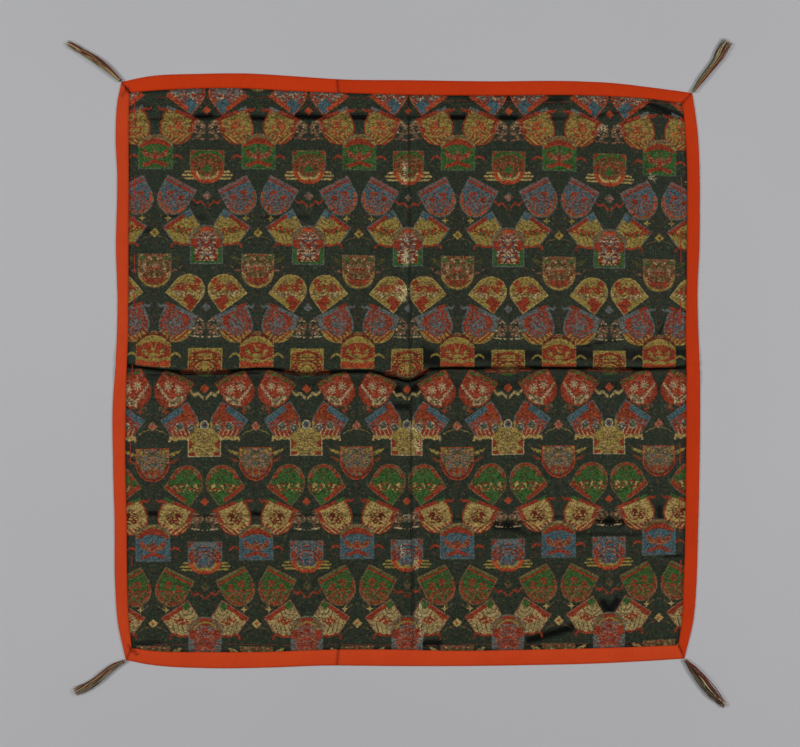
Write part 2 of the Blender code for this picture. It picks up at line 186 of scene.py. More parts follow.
def lift(x, y):
    # Sum of the creases, rise (bell of reach - trough x bell of width), and the ridges, less
    # what stays flat on the ground.
    height = np.zeros(np.shape(x))
    for crease in creases:
        knots = [row[0] for row in crease["rows"]]
        rise = smooth(x, knots, [row[2] for row in crease["rows"]])
        rise = rise * softStep(x - knots[0] + fadeLength, fadeLength)
        rise = rise * softStep(knots[-1] + fadeLength - x, fadeLength)
        off = y - creaseY(crease, x)
        pressed = crease["trough"] * bell(off, crease["width"])
        height = height + rise * (bell(off, crease["reach"]) - pressed)
    for x0, y0, x1, y1, rise, reach in ridges:
        height = height + rise * bell(lineDistance(x, y, x0, y0, x1, y1), reach)
    return np.maximum(height - laidLevel, 0)


def closedSheet(name, x, y, low, high, layers=None, chart=None):
    # Upper face, under face and rim over one grid: point = row * columns + column.
    turn = (x[1, 0] - x[0, 0]) * (y[0, 1] - y[0, 0]) - (x[0, 1] - x[0, 0]) * (y[1, 0] - y[0, 0])
    layers = dict(layers or {})
    if turn > 0:
        x, y, low, high = x[::-1], y[::-1], low[::-1], high[::-1]
        layers = {key: value[::-1] for key, value in layers.items()}
        chart = None if chart is None else tuple(part[::-1] for part in chart)
    rows, columns = x.shape
    upper = np.stack([x, y, high], axis=-1).reshape(-1, 3)
    under = np.stack([x, y, low], axis=-1).reshape(-1, 3)
    index = np.arange(rows * columns).reshape(rows, columns)
    count = rows * columns
    faces = np.stack([index[:-1, :-1], index[:-1, 1:], index[1:, 1:], index[1:, :-1]], axis=-1)
    faces = faces.reshape(-1, 4)
    backs = faces[:, ::-1] + count
    rim = np.concatenate([index[0], index[1:, -1], index[-1, -2::-1], index[-2:0:-1, 0]])
    after = np.roll(rim, -1)
    walls = np.stack([rim, rim + count, after + count, after], axis=-1)
    mesh = bpy.data.meshes.new(name)
    points = np.concatenate([upper, under]) * mm
    quads = np.concatenate([faces, backs, walls])
    mesh.from_pydata(points.tolist(), [], quads.tolist())
    mesh.shade_smooth()
    mesh.set_sharp_from_angle(angle=math.radians(60))
    for key, value in layers.items():
        layer = mesh.attributes.new(key, "FLOAT", "POINT")
        layer.data.foreach_set("value", np.tile(value.ravel(), 2).astype(np.float32))
    if chart is not None:
        places = np.stack([np.tile(part.ravel(), 2) for part in chart], axis=-1)
        own = mesh.uv_layers.new(name="cloth")
        ends = np.empty(len(mesh.loops), dtype=np.int32)
        mesh.loops.foreach_get("vertex_index", ends)
        own.data.foreach_set("uv", places[ends].astype(np.float32).ravel())
    thing = bpy.data.objects.new(name, mesh)
    bpy.context.scene.collection.objects.link(thing)
    return thing


def place(thing, nodes, slotName, material):
    # The piece rides on the root body, in the place of its CAD nodes, with its material when one is given.
    # slotName is not used.
    if material is not None:
        thing.data.materials.append(material)
    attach(thing, "root")
    if nodes:
        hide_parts(*nodes)
    return thing


# Shader maths. A Wire is one socket of the tree: a is this one, b the other.
class Wire:
    def __init__(self, shade, socket):    # a socket and the Shade that it lies in
        self.shade = shade
        self.socket = socket

    def __add__(self, other):    # a + b
        return self.shade.maths("ADD", self, other)

    def __radd__(self, other):    # b + a
        return self.shade.maths("ADD", other, self)

    def __sub__(self, other):    # a - b
        return self.shade.maths("SUBTRACT", self, other)

    def __rsub__(self, other):    # b - a
        return self.shade.maths("SUBTRACT", other, self)

    def __mul__(self, other):    # a b: for masks, 1 where both are
        return self.shade.maths("MULTIPLY", self, other)

    def __rmul__(self, other):    # b a
        return self.shade.maths("MULTIPLY", other, self)

    def __truediv__(self, other):    # a / b
        return self.shade.maths("DIVIDE", self, other)

    def __gt__(self, other):    # 1 where a > b
        return self.shade.maths("GREATER_THAN", self, other)

    def __lt__(self, other):    # 1 where a < b
        return self.shade.maths("LESS_THAN", self, other)

    def __abs__(self):    # |a|
        return self.shade.maths("ABSOLUTE", self)

    def atLeast(self, other):    # the larger of a and b
        return self.shade.maths("MAXIMUM", self, other)

    def atMost(self, other):    # the smaller of a and b
        return self.shade.maths("MINIMUM", self, other)

    def sine(self):    # sin a
        return self.shade.maths("SINE", self)

    def folded(self, reach):    # up to reach and back to 0, again and again
        return self.shade.maths("PINGPONG", self, reach)

    def hypot(self, other):    # root of a a + b b
        both = self.shade.combine(self, other)
        made = self.shade.node("VectorMath", {"operation": "LENGTH"}, {0: both})
        return Wire(self.shade, made.outputs["Value"])

    def inside(self, soft=0.7):
        # 1 inside an outline and 0 outside it: 0.5 - a / soft, held between 0 and 1.
        ramp = self.shade.maths("MULTIPLY_ADD", self, -1 / soft, 0.5)
        return Wire(self.shade, self.shade.node("Clamp", None, {0: ramp}).outputs[0])

    def between(self, low, high, soft=0.8):
        # 1 where low < a < high, with soft sides: inside of |a - middle| - half.
        off = abs(self - (low + high) / 2)
        return (off - (high - low) / 2).inside(soft)


class Shade:
    def __init__(self, name, tree=None):
        # The nodes of a new material, or of a tree that is there already.
        self.tree = tree
        if tree is None:
            self.material = bpy.data.materials.new(name)
            self.material.use_nodes = True
            self.tree = self.material.node_tree
            self.surface = self.tree.nodes["Principled BSDF"]
        self.known = {}

    def put(self, socket, value):
        # A wire is linked; a colour gets 1 as its fourth value; a number is set as it is.
        if isinstance(value, Wire):
            self.tree.links.new(value.socket, socket)
        elif hasattr(value, "__len__") and len(value) == 3 and socket.type == "RGBA":
            socket.default_value = (*value, 1)
        else:
            socket.default_value = value

    def node(self, kind, settings=None, values=None):
        # A node with the same settings and inputs as an earlier one is that one again.
        key = kind + str([(name, str(value)) for name, value in (settings or {}).items()])
        for name, value in (values or {}).items():
            key += f"{name} {value.socket.as_pointer() if isinstance(value, Wire) else value} "
        if key in self.known and kind not in ("ValToRGB", "Group"):
            return self.known[key]
        made = self.tree.nodes.new(kind if kind.startswith("NodeGroup") else "ShaderNode" + kind)
        self.known[key] = made
        for name, value in (settings or {}).items():
            setattr(made, name, value)
        for name, value in (values or {}).items():
            self.put(made.inputs[name], value)
        return made

    def maths(self, operation, *values):
        # A Math node's result for the values in their order.
        made = self.node("Math", {"operation": operation}, dict(enumerate(values)))
        return Wire(self, made.outputs[0])

    def stretch(self, place, factors):
        # Each part of a place times its own factor.
        made = self.node("VectorMath", {"operation": "MULTIPLY"}, {0: place, 1: factors})
        return Wire(self, made.outputs[0])

    def mix(self, share, first, second):
        # first + (second - first) share, for colours.
        made = self.node("Mix", {"data_type": "RGBA"}, {0: share, 6: first, 7: second})
        return Wire(self, made.outputs[2])

    def blend(self, share, first, second):
        # first + (second - first) share, for plain numbers.
        made = self.node("Mix", {"data_type": "FLOAT"}, {0: share, 2: first, 3: second})
        return Wire(self, made.outputs[0])

    def multiply(self, colour, factor):
        # Colour times one number.
        made = self.node("VectorMath", {"operation": "SCALE"}, {0: colour, "Scale": factor})
        return Wire(self, made.outputs[0])

    def layer(self, name):
        # A mesh attribute of plain numbers.
        return Wire(self, self.node("Attribute", {"attribute_name": name}).outputs["Fac"])

    def spot(self):
        # The place on the object, in metres.
        return Wire(self, self.node("TexCoord").outputs["Object"])

    def combine(self, x, y, z=0.0):
        # A place out of its three parts.
        return Wire(self, self.node("CombineXYZ", None, {0: x, 1: y, 2: z}).outputs[0])

    def noise(self, where, scale, detail=2, rough=0.5):
        # Soft noise from 0 to 1: scale patches to a step, detail finer layers.
        values = {"Vector": where, "Scale": scale, "Detail": detail, "Roughness": rough}
        return Wire(self, self.node("TexNoise", None, values).outputs[0])

    def channels(self, kind, settings, values):
        # The red, green and blue of a texture as three plain numbers.
        made = self.node(kind, settings, values)
        parts = self.node("SeparateColor", None, {0: Wire(self, made.outputs["Color"])})
        return [Wire(self, parts.outputs[number]) for number in range(3)]

    def bump(self, strength, height):
        # The surface leans with the slope of the height, 0.3 mm deep.
        made = self.node("Bump", None, {"Strength": strength, "Distance": 0.0003, "Height": height})
        return Wire(self, made.outputs[0])

    def steps(self, at, colours):
        # One colour out of several, by the share of the way along: colour number at n.
        key = (at.socket.as_pointer(), colours)
        if key in self.known:
            return Wire(self, self.known[key].outputs[0])
        made = self.node("ValToRGB", None, {0: at})
        self.known[key] = made
        made.color_ramp.interpolation = "CONSTANT"
        stops = made.color_ramp.elements
        while len(stops) < len(colours):
            stops.new(0.5)
        for number, colour in enumerate(colours):
            stops[number].position = number / len(colours)
        for number, colour in enumerate(colours):
            stops[number].color = (*colour, 1)
        return Wire(self, made.outputs[0])

    def finish(self, colour, roughness, shine, normal=None):
        # The surface's sockets: base colour, roughness, specular level and normal.
        for name, value in (("Base Color", colour), ("Roughness", roughness), ("Specular IOR Level", shine),
                            ("Normal", normal)):
            if value is not None:
                self.put(self.surface.inputs[name], value)
        return self.material


def silk(red, green, blue):
    # Reflected share of a colour seen under the studio lamps, 255 being white:
    # ((c / 255 + 0.055) / 1.055) to the power 2.4, over 0.82.
    seen = np.array([red, green, blue]) / 255
    linear = np.where(seen <= 0.04045, seen / 12.92, ((seen + 0.055) / 1.055) ** 2.4)
    return tuple(float(value) for value in np.minimum(linear / 0.82, 0.95))


red = silk(158, 50, 32)
orange = silk(190, 74, 42)
gold = silk(166, 146, 72)
straw = silk(196, 168, 104)
cream = silk(196, 176, 134)
blue = silk(56, 106, 118)
green = silk(26, 104, 48)
khaki = silk(126, 102, 68)
maroon = silk(112, 28, 22)
slate = silk(98, 112, 112)
moss = silk(70, 78, 40)
pink = silk(170, 108, 86)
rust = silk(152, 60, 34)
ivory = silk(184, 162, 108)

# The chart's figures stand on two rows of axes, half a repeat apart, mirrored on each.
period = 196.6      # from one repeat down to the next
spacing = 101.5     # from one axis across to the next of its row
# What each figure is given: the steps from the nearest axis of rows A and B and down the
# chart, masks of flecks by how many there are, and the mask and colour drawn so far.
wires = ("fromA", "fromB", "down", "dense", "sparse", "other", "few", "most", "speck", "bud", "cloud",
         "figure", "colour")


def chartWires(shade):
    # fromA = across folded at spacing / 2, and fromB = spacing / 2 - fromA. Flecks are cells
    # of one lattice, mirrored with the axes: 1 where a cell's random number passes a limit.
    parts = shade.node("SeparateXYZ", None, {
        0: Wire(shade, shade.node("UVMap", {"uv_map": "cloth"}).outputs[0]),
    })
    across, down = [Wire(shade, parts.outputs[number]) for number in range(2)]
    place = shade.combine(across, down)
    # The weave steps its outlines: the chart's places are shifted by up to 0.5 steps.
    moves = shade.channels("TexNoise", None, {"Vector": place, "Scale": 0.75, "Detail": 1.0})
    across = across + (moves[0] - 0.5) * 2.0
    down = down + (moves[1] - 0.5) * 2.0
    fromA = across.folded(spacing / 2)
    flecks = shade.channels("TexVoronoi", {"voronoi_dimensions": "2D"}, {
        "Vector": shade.combine(fromA * 0.5, down * 0.75), "Scale": 1.0, "Randomness": 0.9,
    })
    buds = shade.node("TexVoronoi", {"voronoi_dimensions": "2D"}, {
        "Vector": shade.combine(fromA, down), "Scale": 0.17, "Randomness": 0.75,
    })
    return {
        "place": place, "across": across, "down": down, "fromA": fromA, "fromB": spacing / 2 - fromA,
        "dense": flecks[0] > 0.5, "sparse": flecks[0] > 0.72, "other": flecks[1] > 0.5,
        "few": flecks[1] > 0.74, "most": flecks[2] > 0.3, "speck": flecks[2] > 0.88,
        "bud": (Wire(shade, buds.outputs["Distance"]) - 0.33).inside(0.1),
        "cloud": shade.noise(shade.combine(fromA, down), 0.32, 2),
    }


class Brocade:
    def __init__(self, shade, given):
        # The wires by name, and the body of the figure that is being painted.
        self.shade = shade
        self.body = None
        for name, wire in given.items():
            setattr(self, name, wire)

    def draw(self, figure):
        # Each figure is a node group of its own, which takes what is drawn so far.
        tree = bpy.data.node_groups.get(figure.__name__) or newFigure(figure)
        given = {name: getattr(self, name) for name in wires}
        made = self.shade.node("Group", {"node_tree": tree}, given)
        self.figure, self.colour = [Wire(self.shade, made.outputs[name]) for name in ("figure", "colour")]

    def row(self, down):
        # Steps below a figure's middle, d - round(d / period) period; turn says which of the
        # three repeats it is, (number + 0.5) / 3.
        off = self.down - down
        number = self.shade.maths("ROUND", off / period)
        self.turn = (number + 0.5) / 3
        return off - number * period

    def only(self, repeat):
        # 1 in one repeat alone: |turn - (repeat - 0.5) / 3| < 0.05.
        return self.shade.maths("COMPARE", self.turn, (repeat - 0.5) / 3, 0.05)

    def card(self, across, below, middle, way, half, deep, radius=None):
        # p runs across the card, q towards its round end. The outline is the largest of
        # hypot(p, q above 0) - radius, p - half and -deep - q.
        away = across - middle if middle else across
        wayX, wayY = way
        if wayX:
            p = away * wayY - below * wayX
            q = away * wayX + below * wayY
        else:
            p = away
            q = below * wayY
        edge = p.hypot(q.atLeast(0)) - (radius or half)
        if radius:
            edge = edge.atLeast(p - half)
        return p, q, edge.atLeast((-deep) - q)

    def ellipse(self, x, y, halfX, halfY):
        # hypot(x / halfX, y / halfY) - 1, in steps of the smaller half.
        return ((x / halfX).hypot(y / halfY) - 1) * min(halfX, halfY)

    def tone(self, *colours):
        # One colour for all, or one for each of the three repeats.
        return self.shade.steps(self.turn, colours) if len(colours) > 1 else colours[0]

    def paint(self, mask, *colours):
        # body + (colour - body) mask.
        self.body = self.shade.mix(mask, self.body, self.tone(*colours))

    def lay(self, mask, *colours):
        # A colour, or else the painted body, on what is drawn so far:
        # colour + (body - colour) mask, and the larger of both masks.
        top = self.tone(*colours) if colours else self.body
        self.colour = self.shade.mix(mask, self.colour, top)
        self.figure = self.figure.atLeast(mask)


def newFigure(figure):
    # A node group: the wires go in, and the mask and colour of all that is drawn come out.
    tree = bpy.data.node_groups.new(figure.__name__, "ShaderNodeTree")
    kinds = {"colour": "NodeSocketColor"}
    for name in wires:
        tree.interface.new_socket(name, in_out="INPUT", socket_type=kinds.get(name, "NodeSocketFloat"))
    for name in ("figure", "colour"):
        tree.interface.new_socket(name, in_out="OUTPUT", socket_type=kinds.get(name, "NodeSocketFloat"))
    inner = Shade(figure.__name__, tree)
    start = inner.node("NodeGroupInput")
    b = Brocade(inner, {name: Wire(inner, start.outputs[name]) for name in wires})
    figure(b)
    inner.node("NodeGroupOutput", None, {"figure": b.figure, "colour": b.colour})
    return tree


# The figures, from the chart: w is the steps below a figure's middle line. Three colours
# in a row are those of the first, second and third repeat down the cloth.
def pairP(b):
    # Fans beside axis B, round ends up: w = d - 93, hypot(p, q above 0) < 15.8.
    w = b.row(93.0)
    p, q, edge = b.card(b.fromB, w, 17.3, (-0.6, -0.8), 15.8, 16.8)
    b.body = b.tone(red, gold, green)
    b.paint(b.dense, slate, khaki, moss)
    b.paint(b.few, cream, gold, green)
    clouds = (w + b.cloud * 6 - 3).between(-7, 1.5) * b.most
    b.paint(clouds * (edge < -4), slate, red, green)
    band = (w + (b.fromB * 0.9).sine()).between(1.5, 8)
    b.paint(band * b.other, red, straw, red)
    b.paint(band * b.few, cream, cream, straw)
    b.paint((edge + b.cloud * 5 > -1.2) * (w < -3), slate, gold, red)
    b.paint((edge > -4) * (w < -3) * b.few, slate, gold, khaki)
    b.paint((edge > -5) * p.between(-1.5, 5.5) * (w < -5), slate, red, khaki)
    b.paint((p > 2.5) * (q < -4), blue, red, green)
    b.paint((q + 12.4).inside() * (p < 9), orange, gold, red)
    b.paint(edge > -0.8, orange, straw, khaki)
    b.lay(edge.inside())


def pairS(b):
    # Fans beside axis A, round ends down, striped below: hypot(p, q above 0) < 16.7.
    w = b.row(127.5)
    p, q, edge = b.card(b.fromA, w, 21.2, (-0.4, 0.916), 16.7, 16)
    b.body = b.tone(gold, red, straw)
    b.paint(b.sparse, khaki, slate, gold)
    b.paint((p.hypot(q) - 8.5).inside(5) * b.other, orange, slate, maroon)
    strokes = ((p + q * 0.5) * 1.5).sine() > 0.0
    foot = (edge > -6.2) * (w > 5)
    b.paint(foot, red, gold, red)
    b.paint(foot * strokes * (edge < -0.9), gold, red, straw)
    b.paint((q + 12.4).inside(), red, slate, red)
    b.paint((p * -1 + 7.4 + b.cloud * 8).inside() * (w < 4.5), red, slate, red)
    b.paint((edge > -1.6) * (p < 0), red, slate, red)
    b.paint((p < -7) * (q < -13), slate, red, green)
    b.lay(edge.inside())
    curl = w + 17 + (b.fromA - 9) * -0.25 + (b.fromA * 0.8).sine() * 0.8
    b.lay(curl.between(-1.3, 1.3) * b.fromA.between(3.2, 13.5), red, slate, red)


def sprigs(b):
    # Small flowers beside axis B: flecks in an oval of 6.6 by 8 steps, on a thin foot.
    w = b.row(130)
    spread = b.ellipse(b.fromB - 7.8, w + 1, 6.6, 8.0)
    tone = b.shade.mix(b.dense, pink, b.shade.mix(b.few, cream, khaki))
    b.lay(spread.inside(2) * (b.other * b.most * 0.8).atLeast(b.bud * 0.25), tone)
    foot = (w + b.fromB * 0.1 - 9.2).between(-0.7, 0.7) * b.fromB.between(2.0, 14.5)
    b.lay(foot * b.most, pink, cream, cream)


def arched(b):
    # A card on axis A with a low arch on top: hypot(p, q above 0) < 22.8 and p < 17.1.
    w = b.row(156.4)
    p, q, edge = b.card(b.fromA, w, 0, (0, -1), 17.1, 13.2, 22.8)
    ring = p.hypot(q)
    oval = b.ellipse(p, w + 3.4, 15.4, 9.2)
    b.body = b.tone(green, gold, blue)
    b.paint((oval > 0.4) * (w < -4), red, gold, red)
    b.paint(oval.inside(), green, red, blue)
    # A crescent flower: one oval less a higher one, with a heart.
    wings = b.ellipse(p, w + 4.6, 12.6, 7.4).atLeast(b.ellipse(p, w + 10.4, 11.6, 8.0) * -1)
    heart = b.ellipse(p, w + 1.6, 3.4, 4.6)
    flower = (wings.atMost(heart) + b.cloud * 1.6 - 0.9).inside(0.8)
    b.paint(flower, red, gold, red)
    b.paint(flower * b.few, pink, khaki, pink)
    b.paint(flower * b.sparse, khaki, red, khaki)
    stem = (p + w * 0.4 + 1.4).between(-0.6, 0.6) * w.between(-11, -5)
    b.paint(stem * 0.8, khaki, gold, slate)
    bar = w + b.shade.maths("COSINE", p * 0.27) * 1.7 + b.cloud * 2 - 8.2
    b.paint(bar.between(-2.1, 2.1) * (abs(p) < 13), red, gold, red)
    b.paint((w > 7.5) * (abs(p) > 8.5) * b.other, khaki, orange, blue)
    b.paint(ring > 15.6, red, gold, red)
    lid = ring > 18.8
    b.paint(lid * (w < -8), khaki, maroon, khaki)
    b.paint(lid * b.sparse, gold, khaki, gold)
    b.paint((w > -9.5) * (ring > 15.6), green, gold, blue)
    # The second repeat has red sides and an orange base.
    b.paint((abs(p) > 11.6) * w.between(-8.2, 2.6) * b.only(2), red)
    base = w + abs(p) * 0.15 - abs((p * 0.3).sine()) * 1.3 > 7.2
    b.paint(base * b.only(2), orange)
    b.paint((edge > -0.9) * b.other, slate, gold, slate)
    b.lay(edge.inside())
    curl = w - 1.4 + ((b.fromA - 17) * 0.35).sine() * 2.4
    b.lay(curl.between(-1.2, 1.2) * b.fromA.between(17, 27), red, gold, red)


def waveCard(b):
    # Three waves either side of a card on axis B with a round end below, radius 16.6.
    w = b.row(167.7)
    streaks = (0.85 - (w - 6.15).folded(1.78)).inside(0.6) * w.between(3.3, 13.2, 0.5)
    reach = 24.8 - abs(w - 8.2) * 0.7
    b.lay(streaks * (b.fromB - reach).between(-12, 0), straw, rust, gold)
    p, q, edge = b.card(b.fromB, w, 0, (0, 1), 16.6, 17.8)
    arc = p.hypot(w - 5)
    b.body = b.tone(khaki, maroon, slate)
    b.paint(b.dense, red, red, blue)
    b.paint(b.few, moss, gold, pink)
    b.paint(((arc * 1.55).sine() > 0.45) * b.most, moss, gold, maroon)
    b.paint((abs(p) > 9) * b.dense, red)
    b.paint((abs(p) + abs(w - 1.3) - 4.6).inside(), green, gold, blue)
    b.paint(arc - b.only(2) * 2.8 > 19.5, green, gold, slate)
    b.paint(arc + abs(p) * 0.35 > 27.6, red, gold, red)
    scallop = edge - abs((p * 0.24).sine()) * 2.4
    b.paint((scallop > -8.0) * (q > 4), straw, khaki, gold)
    b.paint((scallop > -5.2) * (q > 4), orange, maroon, orange)
    b.paint((w > 14.2) * (abs(p) - b.only(2) * 4.0 - 3.4).inside(), red, green, red)
    b.paint((edge > -0.9) * (q < 4), khaki, gold, slate)
    b.lay(edge.inside())


def pairR(b):
    # Fans beside axis A, round ends down: hypot(p, q above 0) < 16.2. Those of the second
    # repeat carry two stars and a zigzag.
    w = b.row(199)
    p, q, edge = b.card(b.fromA, w, 17.9, (-0.476, 0.88), 16.2, 18)
    second = b.only(2)
    b.body = b.tone(blue, red, green)
    b.paint(b.sparse, slate, orange, moss)
    b.paint(b.cloud > 0.6, red, red, green)
    b.paint(b.few * second, pink)
    outer = (q + p * 0.5 > 0.5) * b.other * (1 - second)
    b.paint(outer, rust, red, rust)
    b.paint(outer * b.few, slate, red, khaki)
    rim = (edge + b.cloud * 9 > 1.0) * (q > 0)
    b.paint(rim, orange, red, red)
    b.paint(rim * b.few, khaki, red, khaki)
    zigzag = q - p * 0.44 + p.folded(1.6)
    b.paint(zigzag.between(7.2, 9.4) * (p < 5) * second, cream)
    wave = (q + p * 0.84 + (p * 0.9).sine() > 8) * (p > 3.5)
    b.paint(wave * (edge < -1.6) * second, b.shade.mix(b.dense, khaki, cream))
    for a, down in ((15.2, 5.0), (25.2, 1.7)):
        # Eight thin rays in the second repeat, and a round flower in the others.
        x, y = abs(b.fromA - a), abs(w + down)
        away = x.hypot(y)
        rays = x.atMost(y).atMost(abs(x - y) * 0.7) - 0.6
        star = rays.atLeast(away - 4.6).atMost(away - 2.0)
        b.paint(star.inside(0.5) * second, cream)
        b.paint((away - 3.6).inside() * b.most * (1 - second), red)
    b.paint(q.between(-14.8, -12.4), red)
    b.paint(q < -16.2, orange, green, khaki)
    b.paint((q < -13.4) * b.dense * second, green)
    b.paint(edge > -0.9, slate, red, khaki)
    b.lay(edge.inside())
    curl = w - 4.5 + second - ((b.fromA - 38) * 0.7).sine() * 1.4 - (b.fromA - 44) * 0.35
    curl = curl * (1 - second * 0.3)
    b.lay(curl.between(-1.1, 1.1) * b.fromA.between(36.5, 49.8), red, ivory, red)


def pairL(b):
    # Fans beside axis B, round ends down: hypot(p, q above 0) < 15.9. Those of the second
    # repeat carry two rings over rays.
    w = b.row(230.6)
    p, q, edge = b.card(b.fromB, w, 21.4, (-0.55, 0.835), 15.9, 15.4)
    second = b.only(2)
    b.body = b.tone(gold, red, ivory)
    swirl = (b.fromB - 17).hypot(w + 12)
    reeds = ((b.fromB * 1.4 + w * 0.4).sine() > 0.75) * w.between(3, 12)
    lines = (((swirl * 1.5).sine() > 0.7) * (swirl < 11)).atLeast(reeds)
    b.paint(lines * 0.8, khaki, red, moss)
    middle = (w + (b.fromB - 21.4) * 0.24 + b.cloud * 8 - 4).between(-3.6, 3.4) * b.most
    b.paint(middle, red)
    b.paint(middle * b.few, green, slate, straw)
    b.paint((p < -2) * (q < 3) * second, rust)
    rays = ((b.fromB * 1.5 + w * 0.6).sine() > 0.62) * w.between(4.5, 12)
    b.paint(rays * second * 0.8, cream)
    speckle = (w - (b.fromB - 21.4) * 0.2).between(-3, 4) * b.other
    b.paint(speckle * second * 0.8, b.shade.mix(b.few, slate, pink))
    for a, down in ((24.0, 2.0), (12.5, 4.0)):
        away = (b.fromB - a).hypot(w - down)
        b.paint((away - 4.2).inside() * second, b.shade.mix(b.dense, cream, slate))
        b.paint(away.between(1.3, 3.1) * second, b.shade.mix(b.dense, blue, moss))
    scallop = edge - abs((p * 0.5).sine()) * 1.6
    b.paint((scallop > -3.4) * (q > 6), red, gold, red)
    b.paint(q - second * 1.4 < -10.8, red, blue, red)
    b.paint((p < -8) * (q < -8.5), blue, red, green)
    b.paint((edge > -0.9) * (q < 4), slate, slate, pink)
    b.lay(edge.inside())
    hook = (b.fromB - 29.5).hypot(w - 17).between(3.4, 5.4) * (w < 18) * (b.fromB > 29)
    b.lay(hook, red, straw, red)
    hair = w - 6.8 + (b.fromB - 43) * 0.5 + (b.fromB * 0.8).sine() * 0.5
    b.lay(hair.between(-0.5, 0.5) * b.fromB.between(37, 48) * 0.6, khaki, gold, khaki)


def squareCard(b):
    # A card on axis B with an arch on top: hypot(p, q above 0) < 18 and p < 16.
    w = b.row(243)
    second = b.only(2)
    foot = b.fromB.between(15, 34) * (w - (b.fromB * 0.5).sine() * 1.4).between(0.6, 3.2)
    b.lay(foot * second, straw)
    p, q, edge = b.card(b.fromB, w, 0, (0, -1), 16, 21.8, 18)
    ring = p.hypot(q)
    b.body = b.tone(red, gold, red)
    b.paint(b.dense, cream, khaki, pink)
    b.paint(b.few, slate, straw, slate)
    b.paint(b.cloud > 0.56, maroon, gold, red)
    b.paint((ring > 11) * (w < 0), pink, khaki, gold)
    b.paint((ring > 12.6) * (w < 0), khaki, gold, khaki)
    b.paint((ring > 12.6) * (w < 0) * (p - ring * 0.4 < 0), orange, gold, red)
    b.paint((w > -4) * (w < 5.5) * (p > 9), red, gold, red)
    b.paint((ring > 16.2) * (w < -11), khaki, maroon, khaki)
    low = ((w > 5) * (abs(p) > 10.6 + (18 - w) * 0.12)).atLeast(w > 19)
    b.paint(low * (1 - second), green, red, slate)
    wedge = (abs(p) > 10 + abs(w - 8.5) * 0.8).atLeast((w > 17) * (abs(p) > 9))
    b.paint(wedge * (w > 3) * second, red)
    b.paint(edge > -0.9, slate, cream, slate)
    # The second repeat's arch is lower, 0.038 p p, and carries a ring.
    arch = ((p * p * 0.038 - w - 8.8) * second - 1).inside()
    b.lay(edge.inside() * arch)
    away = b.fromB.hypot(w + 11.7)
    eye = b.shade.mix(away < 3.1, cream, b.shade.mix(away < 1.5, blue, maroon))
    b.lay((away - 4.3).inside() * second, eye)


def roundCard(b):
    # A card on axis A with a round end below, radius 16.6, and two wings at each side.
    w = b.row(271.5)
    lean = (b.fromA - 22) * 0.5
    b.lay(b.ellipse(b.fromA - 21.5, w + 11.0 + lean, 6.2, 2.2).inside() * b.most, moss, gold, straw)
    b.lay(b.ellipse(b.fromA - 21, w + 2.5 + lean, 5.0, 1.8).inside() * b.other * 0.8, pink, rust, rust)
    p, q, edge = b.card(b.fromA, w, 0, (0, 1), 16.6, 16.2)
    b.body = khaki
    b.paint(b.dense, moss, slate, moss)
    b.paint(b.few, pink, moss, pink)
    b.paint(b.speck, cream, gold, cream)
    b.paint(b.bud * b.other, red, pink, red)
    flames = p.folded(3.0) * 0.9 - w.between(6, 12, 6) * 2.6
    b.paint((flames < -0.2) * (w > 6), red, rust, red)
    b.paint((w < -9) * (p > w * 0.2 + 10.5) * b.dense, green, gold, green)
    b.paint((edge > -2.6) * (q > 0), gold, maroon, khaki)
    b.paint(edge > -0.8, khaki, orange, khaki)
    b.lay(edge.inside())


def smallFigures(b):
    # Lozenges, |x| + |y| < size, and stars between the cards.
    w = b.row(111)
    b.lay((b.fromB + abs(w) - 4.3).inside(), orange, slate, orange)
    # Rounded, and faint in the last repeat.
    w = b.row(196.5)
    tone = b.shade.mix(b.dense, b.tone(pink, orange, moss), b.tone(slate, orange, khaki))
    size = (b.fromB.hypot(w) - 4.2).atLeast(b.fromB + abs(w) - 4.8)
    b.lay(size.inside() * (0.85 - b.only(3) * 0.4), tone)
    w = b.row(232.6)
    size = b.fromA + abs(w)
    b.lay((size - 4.8).inside(), gold, pink, straw)
    b.lay((size - 1.6).inside(), maroon, red, orange)
    w = b.row(218.4)
    off = b.fromA - 12.7
    points = (abs(off) + abs(w) * 2.6).atMost(abs(off) * 2.6 + abs(w))
    b.lay((points - 3.6).inside(), gold, red, straw)
    b.lay(b.ellipse(off + 4, w + 3, 4.5, 2.2).inside() * b.other * 0.55, khaki)


